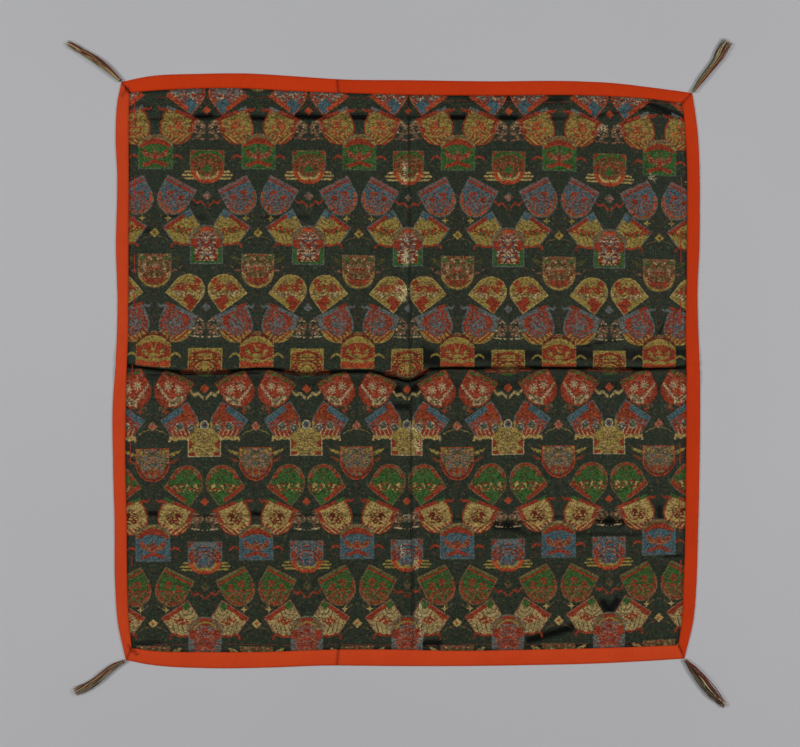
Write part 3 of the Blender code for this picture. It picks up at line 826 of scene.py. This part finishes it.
def brocadeMaterial(name, figures):
    # Satin ground of dark warp, thin streaks both ways and a few coloured specks, and the
    # figures on it. Colour = thread tone x figures, then painted glints and painted shade mixed in.
    shade = Shade(name)
    b = Brocade(shade, chartWires(shade))
    upright = shade.noise(shade.stretch(b.place, (1.1, 0.05, 0)), 1.0, 3, 0.7)
    level = shade.noise(shade.stretch(b.place, (0.05, 1.0, 0)), 1.0, 3, 0.7)
    ground = shade.mix(upright, silk(20, 24, 17), silk(73, 84, 64))
    ground = shade.mix(level * 0.7, ground, silk(34, 41, 33))
    ground = shade.mix(b.speck * 0.25, ground, silk(120, 60, 44))
    b.colour = shade.mix((b.few * b.speck) * 0.35, ground, silk(50, 104, 62))
    b.figure = 0.0
    for figure in figures:
        b.draw(figure)
    # Single threads differ in tone, and the dark warp shows between the coloured wefts.
    threads = shade.channels("TexVoronoi", {"voronoi_dimensions": "2D"}, {
        "Vector": shade.stretch(b.place, (0.8, 1.0, 0)), "Scale": 1.0, "Randomness": 1.0,
    })
    colour = shade.mix(b.figure * 0.22, b.colour, silk(122, 90, 56))
    colour = shade.mix(b.figure * (threads[1] > 0.8) * 0.5, colour, silk(40, 34, 24))
    colour = shade.multiply(colour, threads[0] * 0.56 + 0.32)
    # Painted glints: bright cream mixed in on some threads where the glint layer lies.
    colour = shade.mix(shade.layer("glint") * (threads[2] > 0.62) * 0.8, colour, silk(216, 202, 160))
    # Painted shade: mixed towards near black by the shade layer and by the dark patches' layer, less on the
    # figures.
    shadow = shade.layer("tilt") * (1 - b.figure * 0.45)
    shadow = shadow.atLeast(shade.layer("satin") * (1 - b.figure * 0.85))
    colour = shade.mix(shadow, colour, silk(5, 5, 4))
    facing = shade.node("Mix", {"data_type": "VECTOR"}, {
        0: b.figure, 4: shade.bump(0.3, (b.across * 7.5).sine()), 5: shade.bump(0.3, (b.down * 7.5).sine()),
    })
    return shade.finish(colour, shade.blend(b.figure, 0.42, 0.62), 0.06, Wire(shade, facing.outputs[1]))


def borderMaterial(name, colour, deeper):
    # Plain silk: (0.85 + 0.3 streaks) x glow x a cloudy mix of two tones, with painted shade at seams and
    # puckers.
    shade = Shade(name)
    streaks = shade.noise(shade.stretch(shade.spot(), (900, 60, 60)), 1.0, 3, 0.6)
    tone = shade.mix(shade.noise(shade.spot(), 22, 2), deeper, colour)
    tone = shade.multiply(tone, (streaks * 0.3 + 0.85) * shade.layer("glow"))
    # Painted shade: mixed towards dark red where the strip sinks at joins and mitres and in the puckers.
    tone = shade.mix(shade.layer("tilt"), tone, silk(70, 14, 6))
    return shade.finish(tone, 0.6, 0.05, shade.bump(0.2, streaks))


# The two loom widths. Columns and rows of cells, denser beside each crease.
panelColumns = 112
panelStep = 3.4
clothRest = 0.2         # middle height of the under face
seamDip = 0.5           # how much thinner the cloth is at the seam
# Shade beside the seam, along the edges and on slopes: how deep, and its half width.
seamShade, seamWidth = 0.8, 0.7
edgeShade, edgeWidth = 0.9, 1.4
slopeShade, slopeWidth = 0.4, 0.5
creaseOffsets = (
    -16, -12.5, -9.5, -7, -5, -3.5, -2.4, -1.5, -0.7, 0, 0.7, 1.5, 2.4, 3.5, 5, 7, 9.5, 12.5, 16,
)

# Patches of painted shade where the satin turns dark: chart places of both ends, half width, depth.
darkPatches = (
    (196, 117, 212, 116, 2.8, 1.0), (249, 118, 268, 119, 3.0, 1.0), (294, 116, 326, 118, 3.2, 1.0),
    (348, 117, 369, 118, 3.0, 1.0), (448, 118, 466, 118, 3.0, 1.0), (500, 118, 516, 118, 2.8, 1.0),
    (470, 98, 560, 100, 5.0, 0.8), (646, 103, 682, 118, 3.2, 1.0), (143, 111, 150, 109, 2.6, 0.9),
    (165, 217, 205, 218, 2.0, 0.7), (262, 217, 308, 218, 2.0, 0.7), (128, 232, 150, 231, 2.0, 0.9),
    (182, 196, 196, 205, 1.4, 0.8), (236, 200, 250, 197, 1.4, 0.8), (668, 316, 656, 338, 1.4, 0.9),
    (656, 338, 640, 349, 1.6, 0.9), (620, 339, 576, 348, 1.4, 0.9), (396, 406, 409, 407, 3.6, 0.95),
    (424, 352, 438, 358, 6.0, 0.9), (424, 361, 452, 363, 4.6, 0.95), (476, 356, 500, 357, 6.0, 0.85),
    (524, 354, 538, 356, 5.5, 0.8), (572, 354, 592, 355, 6.0, 0.85), (625, 354, 640, 356, 6.0, 0.8),
    (666, 352, 690, 354, 6.0, 0.85), (384, 374, 409, 381, 2.8, 1.0), (409, 381, 425, 374, 2.8, 1.0),
    (396, 387, 399, 391, 4.4, 1.0), (413, 390, 417, 386, 4.4, 1.0), (130, 377, 400, 384, 4.0, 0.35),
    (424, 385, 660, 386, 4.5, 0.4), (149, 513, 157, 513, 2.6, 1.0), (253, 513, 260, 514, 2.6, 1.0),
    (496, 525, 517, 527, 5.0, 0.95), (601, 519, 620, 521, 6.4, 0.95), (659, 508, 660, 518, 3.4, 0.9),
    (520, 533, 640, 534, 2.0, 0.6), (664, 556, 683, 555, 1.8, 0.9), (603, 602, 609, 611, 4.2, 1.0),
    (609, 611, 617, 600, 4.2, 1.0), (529, 640, 571, 627, 4.2, 1.0), (424, 643, 440, 643, 3.4, 0.95),
    (136, 643, 159, 643, 2.0, 0.8), (500, 646, 640, 644, 1.6, 0.7),
)
# Patches in full shade, figures included: chart places of both ends, half width.
deepPatches = (
    (386, 375.5, 409, 382, 2.2), (409, 382, 426, 374, 2.2), (150, 375, 260, 373, 1.2),
    (430, 368.5, 680, 368, 1.2),
)
# How far the figures lie below an even chart, in steps: the line, then three places
# across the left panel and three across the right one.
settled = np.array((
    (115, -1, 0.3, 0.5, 0.3, 0.8, 0), (135, 1, 0.3, 1, 0.8, 1.6, 0), (155, 0, 0.5, 1.2, 1.3, 1.3, 0),
    (175, -0.5, -0.3, 1, 1, 0.5, 0), (195, -0.5, -0.8, 0.8, 1.5, 0, -1.3), (215, -0.4, 0, 0.7, 2, 2, 0),
    (235, 0, 0.6, 2, 2.3, 2.8, 1.5), (255, -1.5, -1.2, 0.5, 0.5, 1.2, 0.5), (275, 0.5, 0.6, 2.6, 2.6, 3, 2),
    (295, -1, 0, 1, 1, 2, 1.7), (315, -1, 0.2, 0.8, 1.2, 1.8, 2), (335, 1, 1.7, 2.1, 2.3, 4, 4),
    (356, 1, 2, 2.4, 2, 3.6, 4), (386, 1, 2, 2.4, 2, 3.5, 4), (410, 2.7, 1.7, 1.6, 1, 3.8, 3.8),
    (430, 3, 3.4, 2.6, 2, 5.3, 5.6), (450, 2.5, 1.2, 0.4, 0.4, 2.8, 4.5),
    (470, 1.5, 0, -0.6, -0.8, 1.2, 2.5), (490, 3.7, 3.7, 2.9, 2.5, 5.5, 6.2),
    (510, 3, 3.4, 2.6, 2, 4, 4.5), (530, 3.2, 3.7, 2.6, 1, 3.8, 4.8),
    (550, 5, 4.2, 2.6, 2, 5.3, 5.5), (570, 3.6, 2.4, 0.6, 0, 3.5, 4.3),
    (610, 4, 4, 3, 2, 4.5, 5.3), (630, 3, 4, 3, 2.2, 4.8, 4.6),
))


# Painted glints of light on the gilt threads: chart places of both ends, half width, strength.
glints = (
    (405, 164, 404, 184, 2.2, 0.7), (406, 236, 406, 254, 2.0, 0.6), (405, 256, 406, 262, 2.6, 1.0),
    (399, 289, 407, 291, 3.2, 1.0), (400, 297, 404, 299, 2.4, 1.0), (411, 427, 418, 432, 2.8, 0.9),
    (417, 440, 418, 450, 2.6, 0.9), (416, 558, 416, 567, 2.0, 0.8), (402, 545, 403, 556, 2.0, 0.6),
    (420, 604, 421, 642, 1.8, 0.6), (600, 130, 606, 128, 1.6, 0.8), (650, 176, 654, 180, 1.6, 0.8),
    (404, 516, 412, 517, 2.6, 0.5), (646, 98, 650, 99, 1.4, 0.6), (130, 92, 131, 98, 1.2, 0.9),
)


def chartPlace(x, y, panel):
    # Across = x / step from the panel's own axis, less drift. Down = - y / step, plus what
    # the fold has taken up, less how far the figures have settled.
    column = x / chartStep + chartAcross
    line = chartDown - y / chartStep
    if panel == "left":
        knots = (115, 200, 240, 300, 360, 400, 600)
        drift = smooth(line, knots, (-0.4, -0.2, -0.8, -1.1, -2.0, -2.6, -2.2))
        knots = (130, 180, 240, 290, 330, 400)
        drift = drift + smooth(column, knots, (-0.4, 0.3, 1.7, 1.2, 1.2, 0.2))
        across = column - 155.7 - drift
        squeeze = np.zeros(np.shape(x))
        share, first = (column - 150) / 235, 1
    else:
        drift = smooth(line, (150, 360, 600), (0, -0.7, -0.7))
        drift = drift + smooth(column, (430, 600, 640, 690), (0.2, -0.2, -0.8, -2.2))
        across = column - 457.7 - drift
        squeeze = smooth(column, (430, 560, 610, 660, 700), (0, 0.15, 0.5, 1, 1.2))
        share, first = (column - 430) / 230, 4
    # A parabola through the three places: v0 (1-t)(1-2t) + v1 4t(1-t) + v2 t(2t-1).
    share = np.clip(share, -0.05, 1.08)
    near, half, far = [smooth(line, settled[:, 0], settled[:, first + number]) for number in range(3)]
    lower = near * (1 - share) * (1 - 2 * share) + half * 4 * share * (1 - share)
    lower = lower + far * share * (2 * share - 1)
    foldLine = chartDown - creaseY(creases[1], x) / chartStep
    taken = smooth(column, (130, 270, 385, 430, 545, 680), (5.5, 6.2, 6.1, 5.5, 9.5, 9.0))
    taken = taken * softStep(line - foldLine + 3, 6)
    squeeze = squeeze * smooth(line, (175.7, 366, 555.5), (-6.4, 0, 4.5))
    return across, line + taken - lower + squeeze


def panelRows(x):
    # Rows along the creases, crease + offset, and evenly between them.
    lower, upper = bottomInner(x) + edgeGap, topInner(x) - edgeGap
    rows = [lower]
    for crease in creases:
        line = creaseY(crease, x)
        rows += spread(rows[-1], line + creaseOffsets[0])
        rows += [line + offset for offset in creaseOffsets]
    return np.stack(rows + spread(rows[-1], upper) + [upper])


def spread(low, high):
    # Even rows between two lines: low + (high - low) i / n.
    cells = max(1, round(float(np.mean(high - low)) / panelStep))
    return [low + (high - low) * i / cells for i in range(1, cells)]


def panelGrid(leftEdge, rightEdge):
    # x = left edge + share of the width at its y, and y = the rows at its x: worked out in turn.
    shares = np.linspace(0, 1, panelColumns + 1)
    x = leftEdge(0.0) + (rightEdge(0.0) - leftEdge(0.0)) * shares
    y = panelRows(x)
    for _ in range(6):
        x = leftEdge(y) + (rightEdge(y) - leftEdge(y)) * shares
        y = np.stack([row[number] for number, row in enumerate(panelRows(x))])
    return x, y


def clothHeight(x, y):
    # The folds + the cloth's rest + faint ripples, and never under the floor.
    fine = 0.22 * ripples(x, y, 46, 15, 3) + 0.12 * ripples(x, y, 17, 9, 5)
    return np.maximum(lift(x, y) + clothRest + fine, leastHeight)


def makePanel(name, side, grid):
    # A thin sheet from the cloth's height up: height + thickness - dip x bell at the seam. Its
    # layers are the deepest painted shade on slopes, pressed lines, the seam and edges, the
    # painted shade of the dark satin patches, and the strongest painted glint.
    x, y = grid
    low = clothHeight(x, y)
    near = np.abs(x - seamX(y))
    high = low + sheetThickness - seamDip * bell(near, 1.0)
    step = 0.4
    slope = (clothHeight(x, y + step) - clothHeight(x, y - step)) / (2 * step)
    # Painted shade: darker on slopes, along the pressed lines, beside the seam and along the edges.
    tilt = slopeShade * (1 - bell(slope, slopeWidth))
    for crease in creases:
        tilt = np.maximum(tilt, crease["dark"] * bell(y - creaseY(crease, x), crease["line"]))
    tilt = np.maximum(tilt, seamShade * bell(near, seamWidth))
    sides = np.minimum(x - leftInner(y), rightInner(y) - x)
    ends = np.minimum(y - bottomInner(x), topInner(x) - y)
    tilt = np.maximum(tilt, edgeShade * bell(np.minimum(sides, ends), edgeWidth))
    column, line = x / chartStep + chartAcross, chartDown - y / chartStep
    satin, glint = np.zeros(np.shape(x)), np.zeros(np.shape(x))
    # Painted shade of the dark patches, strongest on each patch's line.
    for x0, y0, x1, y1, width, depth in darkPatches:
        away = lineDistance(column, line, x0, y0, x1, y1)
        satin = np.maximum(satin, depth * bell(away**2, width**2))
    # Painted glints, strongest where a glint line lies nearest.
    for x0, y0, x1, y1, width, strength in glints:
        glint = np.maximum(glint, strength * bell(lineDistance(column, line, x0, y0, x1, y1), width))
    # Painted shade in full along the deep patches, figures included.
    for x0, y0, x1, y1, width in deepPatches:
        tilt = np.maximum(tilt, bell(lineDistance(column, line, x0, y0, x1, y1) ** 2, width**2))
    layers = {"tilt": tilt, "satin": satin, "glint": glint}
    thing = closedSheet(name, x, y, low, high, layers, chartPlace(x, y, side))
    for band in bands:
        thing.data.materials.append(band["material"])
    # Each face takes the material of the band of figures that its middle lies in.
    count = len(thing.data.polygons)
    middles = np.empty(count * 3, dtype=np.float32)
    thing.data.polygons.foreach_get("center", middles)
    middles = middles.reshape(-1, 3) / mm
    down = chartPlace(middles[:, 0], middles[:, 1], side)[1]
    down = (down - bands[0]["top"]) % period + bands[0]["top"]
    numbers = np.searchsorted([band["top"] for band in bands], down, side="right") - 1
    thing.data.polygons.foreach_set("material_index", numbers.astype(np.int32))
    place(thing, (name,), "brocade", None)
    return thing


# Rows of the chart, from their upper line, with the figures that reach into them.
bands = (
    {"name": "silk_upper_row", "top": 119.5, "figures": (pairS, sprigs, arched, waveCard)},
    {"name": "silk_middle_row", "top": 172.5, "figures": (waveCard, pairR, pairL, smallFigures)},
    {"name": "silk_lower_row", "top": 222.0, "figures": (pairL, squareCard, roundCard, smallFigures)},
    {"name": "silk_last_row", "top": 267.0, "figures": (pairP, pairS, roundCard, smallFigures)},
)
leftGrid = panelGrid(lambda y: leftInner(y) + edgeGap, lambda y: seamX(y) - seamGap)
rightGrid = panelGrid(lambda y: seamX(y) + seamGap, lambda y: rightInner(y) - edgeGap)
for band in bands:
    band["material"] = brocadeMaterial(band["name"], band["figures"])
makePanel("panel_left", "left", leftGrid)
makePanel("panel_right", "right", rightGrid)
print("panels done")


# The border: strips with a padded section, mitred at the corners.
borderAcross = (0.0, 0.06, 0.14, 0.25, 0.4, 0.55, 0.7, 0.84, 0.94, 1.0)
paddingAcross, paddingHeight = (0, 0.06, 0.25, 0.7, 0.94, 1), (1.1, 1.9, 2.4, 2.2, 1.5, 0.7)
stripStep = 3           # along a strip
leastPadding = 0.5
endDip, endWidth = 0.7, 1.3     # where a strip sinks at a join or a mitre
endShade, endShadeWidth = 0.5, 0.8
vermilion = borderMaterial("border_red", silk(185, 53, 13), silk(171, 47, 12))
orangeSilk = borderMaterial("border_orange", silk(186, 64, 27), silk(172, 54, 22))
# Puckers at the corners: x and y of both ends, depth and half width.
puckers = (
    (-321, 336, -313, 326, 0.9, 1.6), (-324, 326, -316, 333, 0.7, 1.4), (-314, -322, -306, -328, 0.8, 1.5),
    (-317, -318, -309, -324, 0.6, 1.3), (336, 322, 331, 316, 0.5, 1.4), (330, -326, 326, -318, 0.5, 1.4),
)


def makeStrip(strip):
    # A grid from the inner edge to the outer one, inner + (outer - inner) across, leaning
    # evenly from mitre to mitre. Height = padding + ripples - dips at ends and puckers.
    rows, startName, endName, upright = strip["side"]
    start, end = corners[startName], corners[endName]
    axis = 1 if upright else 0
    inner0, inner1, outer0, outer1 = start[axis], end[axis], start[axis + 2], end[axis + 2]
    low, high = strip["span"]
    count = int((high - low) * (inner1 - inner0) / stripStep) + 2
    share = low + (high - low) * np.linspace(0, 1, count)
    innerAlong = inner0 + (inner1 - inner0) * share
    outerAlong = outer0 + (outer1 - outer0) * share
    innerOff = sideCurve(rows, startName, endName, "inner", upright)(innerAlong)
    outerOff = sideCurve(rows, startName, endName, "outer", upright)(outerAlong)
    outward = np.sign(outerOff[0] - innerOff[0])
    innerOff = innerOff + outward * edgeGap
    across = np.array(borderAcross)
    along = innerAlong + np.outer(across, outerAlong - innerAlong)
    off = innerOff + np.outer(across, outerOff - innerOff)
    gaps = [seamGap if joined else mitreGap for joined in strip["joined"]]
    along[:, 0] += gaps[0]
    along[:, -1] -= gaps[1]
    x, y = (off, along) if upright else (along, off)
    height = smooth(across, paddingAcross, paddingHeight)[:, None]
    height = height + 0.16 * ripples(x, y, 13, 13, 8) + 0.1 * ripples(x, y, 5, 5, 9)
    fromEnd = np.minimum(along - along[:, :1], along[:, -1:] - along)
    height = height - endDip * bell(fromEnd, endWidth)
    # Painted shade where the strip sinks at its ends, and in the puckers at 1.1 x their depth.
    tilt = endShade * bell(fromEnd, endShadeWidth)
    for x0, y0, x1, y1, depth, width in puckers:
        near = bell(lineDistance(x, y, x0, y0, x1, y1), width)
        height = height - depth * near
        tilt = np.maximum(tilt, 1.1 * depth * near)
    low = np.maximum(lift(x, y), leastHeight)
    height = np.maximum(height, leastPadding)
    layers = {"tilt": tilt, "glow": np.full(x.shape, strip["glow"])}
    thing = closedSheet(strip["name"], x, y, low, low + height, layers)
    place(thing, (strip["name"],), "border_silk", strip["material"])
    return thing


# The joins lie at this share of the way along. A side: its rows, its corners, upright or not.
joinShare = 0.378
top = (topSide, "upperLeft", "upperRight", False)
bottom = (bottomSide, "lowerLeft", "lowerRight", False)
strips = (
    {"name": "border_top_left", "side": top, "span": (0, joinShare), "joined": (False, True),
     "glow": 1.02, "flat": (0.0175, 0.250), "material": vermilion},
    {"name": "border_top_right", "side": top, "span": (joinShare, 1), "joined": (True, False),
     "glow": 0.95, "flat": (0.0165, 0.408), "material": vermilion},
    {"name": "border_bottom_left", "side": bottom, "span": (0, joinShare), "joined": (False, True),
     "glow": 1.07, "flat": (0.018, 0.245), "material": orangeSilk},
    {"name": "border_bottom_right", "side": bottom, "span": (joinShare, 1), "joined": (True, False),
     "glow": 1.07, "flat": (0.018, 0.402), "material": orangeSilk},
    {"name": "border_left", "side": (leftSide, "lowerLeft", "upperLeft", True), "span": (0, 1),
     "joined": (False, False), "glow": 1.0, "flat": (0.0145, 0.662), "material": orangeSilk},
    {"name": "border_right", "side": (rightSide, "lowerRight", "upperRight", True), "span": (0, 1),
     "joined": (False, False), "glow": 0.95, "flat": (0.015, 0.648), "material": vermilion},
)
for strip in strips:
    makeStrip(strip)
print("border done")


def tube(path, radius, sides=5):
    # Rings of points round a path: centre + radius (cos a side + sin a up).
    path = np.asarray(path, float)
    run = np.gradient(path, axis=0)
    run = run / np.linalg.norm(run, axis=1, keepdims=True)
    side = np.cross(run, [0, 0, 1])
    side = side / np.maximum(np.linalg.norm(side, axis=1, keepdims=True), 1e-6)
    up = np.cross(side, run)
    angles = np.arange(sides) * 2 * math.pi / sides
    radius = np.broadcast_to(radius, len(path))[:, None, None]
    rings = path[:, None] + radius * (
        np.cos(angles)[None, :, None] * side[:, None] + np.sin(angles)[None, :, None] * up[:, None]
    )
    points = rings.reshape(-1, 3)
    index = np.arange(len(points)).reshape(-1, sides)
    turned = np.roll(index, -1, axis=1)
    faces = np.stack([index[:-1], turned[:-1], turned[1:], index[1:]], axis=-1).reshape(-1, 4)
    return points, faces.tolist() + [index[0][::-1].tolist(), index[-1].tolist()]


def joinTubes(name, tubes, tints=None):
    # One mesh of many tubes, each with its own tint: a tube's faces count on from the last.
    points, faces, colours = [], [], []
    shift = 0
    for number, (spots, quads) in enumerate(tubes):
        points.append(spots)
        faces += [[index + shift for index in quad] for quad in quads]
        shift += len(spots)
        if tints is not None:
            colours.append(np.tile((*tints[number], 1), (len(spots), 1)))
    mesh = bpy.data.meshes.new(name)
    mesh.from_pydata((np.concatenate(points) * mm).tolist(), [], faces)
    mesh.shade_smooth()
    mesh.set_sharp_from_angle(angle=math.radians(75))
    if tints is not None:
        layer = mesh.attributes.new("tint", "FLOAT_COLOR", "POINT")
        layer.data.foreach_set("color", np.concatenate(colours).astype(np.float32).ravel())
    thing = bpy.data.objects.new(name, mesh)
    bpy.context.scene.collection.objects.link(thing)
    return thing


def threadMaterial():
    # Each thread's own tint, paler and darker along its twist: tint (0.9 noise + 0.5).
    shade = Shade("tassel_thread")
    tint = Wire(shade, shade.node("Attribute", {"attribute_name": "tint"}).outputs["Color"])
    return shade.finish(shade.multiply(tint, shade.noise(shade.spot(), 900, 2) * 0.9 + 0.5), 0.65, 0.15)


creamThread, goldThread = silk(186, 168, 132), silk(150, 122, 72)
darkThread, brownThread = silk(58, 40, 30), silk(92, 60, 44)
maroonThread, greenThread = silk(104, 44, 34), silk(104, 108, 84)
redThread = silk(168, 44, 36)
threadRadius = 0.34     # of a thin tassel thread
thickRadius = (0.42, 0.56)
stitchRadius = 0.42
threadCount = 58
thickFrom = 42          # threads from this number on are thick and lie on top
bindingTurns = 5
# Each tassel: its width at the start, middle and end, its path, and for each tint how far
# it keeps to the left.
tassels = (
    {"name": "tassel_upper_left", "widths": (5.0, 8.4, 7.0), "path": (
        (-325.3, 342.0), (-338.1, 353.8), (-350.3, 363.9), (-361.6, 371.9), (-375.1, 380.0),
        (-388.0, 386.4)),
     "tints": (darkThread, maroonThread, brownThread, creamThread, goldThread, greenThread),
     "lean": (0.9, 0.8, 0.5, 0.1, 0.2, 0.0)},
    {"name": "tassel_upper_right", "widths": (5.0, 9.0, 13.0), "path": (
        (343.0, 329.2), (351.7, 341.6), (360.4, 352.4), (367.7, 361.9), (373.8, 370.5),
        (378.5, 379.3), (384.6, 388.4)),
     "tints": (greenThread, creamThread, darkThread, brownThread, goldThread, maroonThread),
     "lean": (0.0, 0.1, 0.4, 0.6, 0.9, 0.7)},
    {"name": "tassel_lower_left", "widths": (5.0, 8.4, 9.6), "path": (
        (-320.8, -335.4), (-333.6, -341.9), (-344.8, -350.6), (-355.9, -359.5), (-367.1, -367.0),
        (-379.1, -372.3)),
     "tints": (creamThread, maroonThread, darkThread, brownThread, greenThread, goldThread),
     "lean": (0.9, 0.4, 0.5, 0.6, 0.1, 0.9)},
    {"name": "tassel_lower_right", "widths": (5.0, 13.0, 7.0), "path": (
        (333.8, -334.2), (343.9, -346.1), (353.8, -358.0), (363.5, -370.0), (372.5, -380.0),
        (381.0, -387.6)),
     "tints": (creamThread, darkThread, maroonThread, darkThread, brownThread, greenThread),
     "lean": (0.5, 0.9, 0.1, 0.6, 0.3, 0.9)},
)


def makeTassel(tassel, seed, material):
    # Threads that start close together: line + side (away x half width + wave), and turns of
    # a binding round the start, centre + 1.8 cos a sideways and 1.6 sin a up.
    rng = np.random.default_rng(seed)
    knots = np.asarray(tassel["path"], float)
    places = np.linspace(0, 1, len(knots))
    share = np.linspace(0, 1, 18)
    line = np.stack([smooth(share, places, knots[:, 0]), smooth(share, places, knots[:, 1])], axis=-1)
    run = np.gradient(line, axis=0)
    run = run / np.linalg.norm(run, axis=1, keepdims=True)
    side = np.stack([-run[:, 1], run[:, 0]], axis=-1)
    width = smooth(share, (0, 0.5, 1), tassel["widths"])
    tubes, tints = [], []
    for number in range(threadCount):
        thick = number >= thickFrom
        kind = number % len(tassel["tints"])
        sway = 2 * tassel["lean"][kind] - 1
        away = np.clip(0.4 * sway * -1 + rng.normal(0, 0.5), -1, 1)
        high = rng.uniform(0.4, 1) if thick else rng.uniform(-1, 0.6)
        wave = (1.1 if thick else 0.6) * np.sin(share * rng.uniform(5, 11) + rng.uniform(0, 6.3)) * share
        reach = 1 - rng.uniform(0, 0.12) * (number % 3 > 0)
        sideways = (away * 0.5 * width + wave) * (0.55 + 0.45 * softStep(share, 0.2))
        up = 2.4 + high * 1.5 * (0.75 + 0.25 * share) + 0.3 * np.sin(share * rng.uniform(4, 9))
        flat = line + side * sideways[:, None]
        start = flat[0] + (flat - flat[0]) * reach
        path = np.column_stack([start, np.clip(up, 0.5, 4.4)])
        radius = rng.uniform(*thickRadius) if thick else threadRadius
        tubes.append(tube(path, radius * (1 - 0.35 * share**4)))
        pale = rng.uniform(0.8, 1.35) if thick else rng.uniform(0.5, 1.05)
        tints.append(np.array(tassel["tints"][kind]) * pale)
    for turn in range(bindingTurns):
        middle = line[0] + run[0] * (0.5 + turn * 0.5)
        angle = np.linspace(0, 2 * math.pi, 17)
        ring = middle + np.outer(np.cos(angle) * 1.8, side[0])
        path = np.column_stack([ring, 2.35 + 1.6 * np.sin(angle)])
        tubes.append(tube(path, threadRadius))
        tints.append(np.array(tassel["tints"][turn]) * 0.9)
    thing = joinTubes(tassel["name"], tubes, tints)
    return place(thing, (tassel["name"],), "thread", material)


thread = threadMaterial()
for seed, tassel in enumerate(tassels):
    makeTassel(tassel, seed + 11, thread)
print("tassels done")


# Long running stitches a little inside the border: rows along the upper and lower side,
# and single red ones down both sides. Chart places of both ends.
stitchRows = ((150, 97, 400, 99), (420, 101, 672, 103), (150, 644, 395, 645), (425, 645, 660, 643))
sideStitches = (
    (134.8, 94, 134.8, 121), (134.8, 177, 134.8, 201), (134.8, 216, 134.7, 226), (134.7, 254, 134.6, 273),
    (134.5, 293, 134.4, 304), (132.9, 365, 132.5, 383), (131.6, 402, 131.2, 426), (130.8, 443, 130.6, 461),
    (130.2, 481, 130.1, 496), (132.0, 557, 132.2, 566), (133.2, 585, 133.5, 597), (681.5, 118, 681.4, 146),
    (681.2, 178, 681.0, 202), (680.8, 236, 680.6, 262), (680.4, 300, 680.2, 324), (679.9, 388, 679.8, 408),
    (679.7, 444, 679.7, 465), (679.5, 497, 679.5, 532), (680.0, 560, 680.2, 574),
)


def makeStitches(material):
    # Dashes of thread on the cloth, lower at both ends: height + 0.25 - 0.5 s^4.
    rng = np.random.default_rng(5)
    dashes = [(row, redThread) for row in sideStitches]
    for x0, y0, x1, y1 in stitchRows:
        at = x0 + rng.uniform(0, 6)
        while at < x1 - 8:
            after = at + rng.uniform(9, 20)
            drift = 0.5 * math.sin(at * 0.05)
            heights = [y0 + (y1 - y0) * (place - x0) / (x1 - x0) + drift for place in (at, after)]
            dashes.append(((at, heights[0], after, heights[1]), maroonThread))
            at = after + rng.uniform(2, 4.5)
    tubes, tints = [], []
    for (x0, y0, x1, y1), tint in dashes:
        share = np.linspace(0, 1, 11)
        x = (x0 + (x1 - x0) * share - chartAcross) * chartStep
        y = (chartDown - y0 - (y1 - y0) * share) * chartStep
        rise = 0.25 - 0.5 * (2 * share - 1) ** 4
        path = np.column_stack([x, y, clothHeight(x, y) + sheetThickness + rise])
        tubes.append(tube(path, stitchRadius))
        tints.append(tint)
    thing = joinTubes("running_stitches", tubes, tints)
    return place(thing, (), "thread", material)


makeStitches(thread)
print("stitches done")


# Studio: pale floor, soft lamps at both sides and above.
def makeFloor():
    # A square of 8 m just below the cloth, in two greys by noise.
    mesh = bpy.data.meshes.new("floor")
    side, drop = 4.0, -0.0003
    spots = [(-side, -side, drop), (side, -side, drop), (side, side, drop), (-side, side, drop)]
    mesh.from_pydata(spots, [], [(0, 1, 2, 3)])
    floor = bpy.data.objects.new("floor", mesh)
    bpy.context.scene.collection.objects.link(floor)
    shade = Shade("floor_paper")
    paper = shade.mix(shade.noise(shade.spot(), 3, 2), (0.485, 0.485, 0.50), (0.515, 0.515, 0.53))
    mesh.materials.append(shade.finish(paper, 0.9, None))


def lamp(name, spot, size, power):
    # A square lamp that points at the middle of the cloth: turned along - spot.
    data = bpy.data.lights.new(name, "AREA")
    data.shape = "SQUARE"
    data.size = size
    data.energy = power
    thing = bpy.data.objects.new(name, data)
    thing.location = spot
    thing.rotation_euler = (Vector((0, 0, 0)) - Vector(spot)).to_track_quat("-Z", "Y").to_euler()
    bpy.context.scene.collection.objects.link(thing)


makeFloor()
lamp("lamp_left", (-2.6, 0.2, 2.2), 0.9, 51)
lamp("lamp_right", (2.6, 0.2, 2.2), 0.9, 47)
lamp("lamp_above", (0.3, 0.6, 3.4), 2.4, 20)
world = bpy.data.worlds.new("studio")
world.use_nodes = True
light = world.node_tree.nodes["Background"].inputs
light[0].default_value = (1, 1, 1, 1)
light[1].default_value = 0.12
bpy.context.scene.world = world
bpy.context.scene.view_settings.view_transform = "Standard"

camera = bpy.data.cameras.new("camera")
camera.lens = 60
camera.sensor_width = 36
camera.clip_start = 0.1
camera.clip_end = 20
eye = bpy.data.objects.new("camera", camera)
eye.location = (0.0008, 0.0002, 1.56)
bpy.context.scene.collection.objects.link(eye)
bpy.context.scene.camera = eye
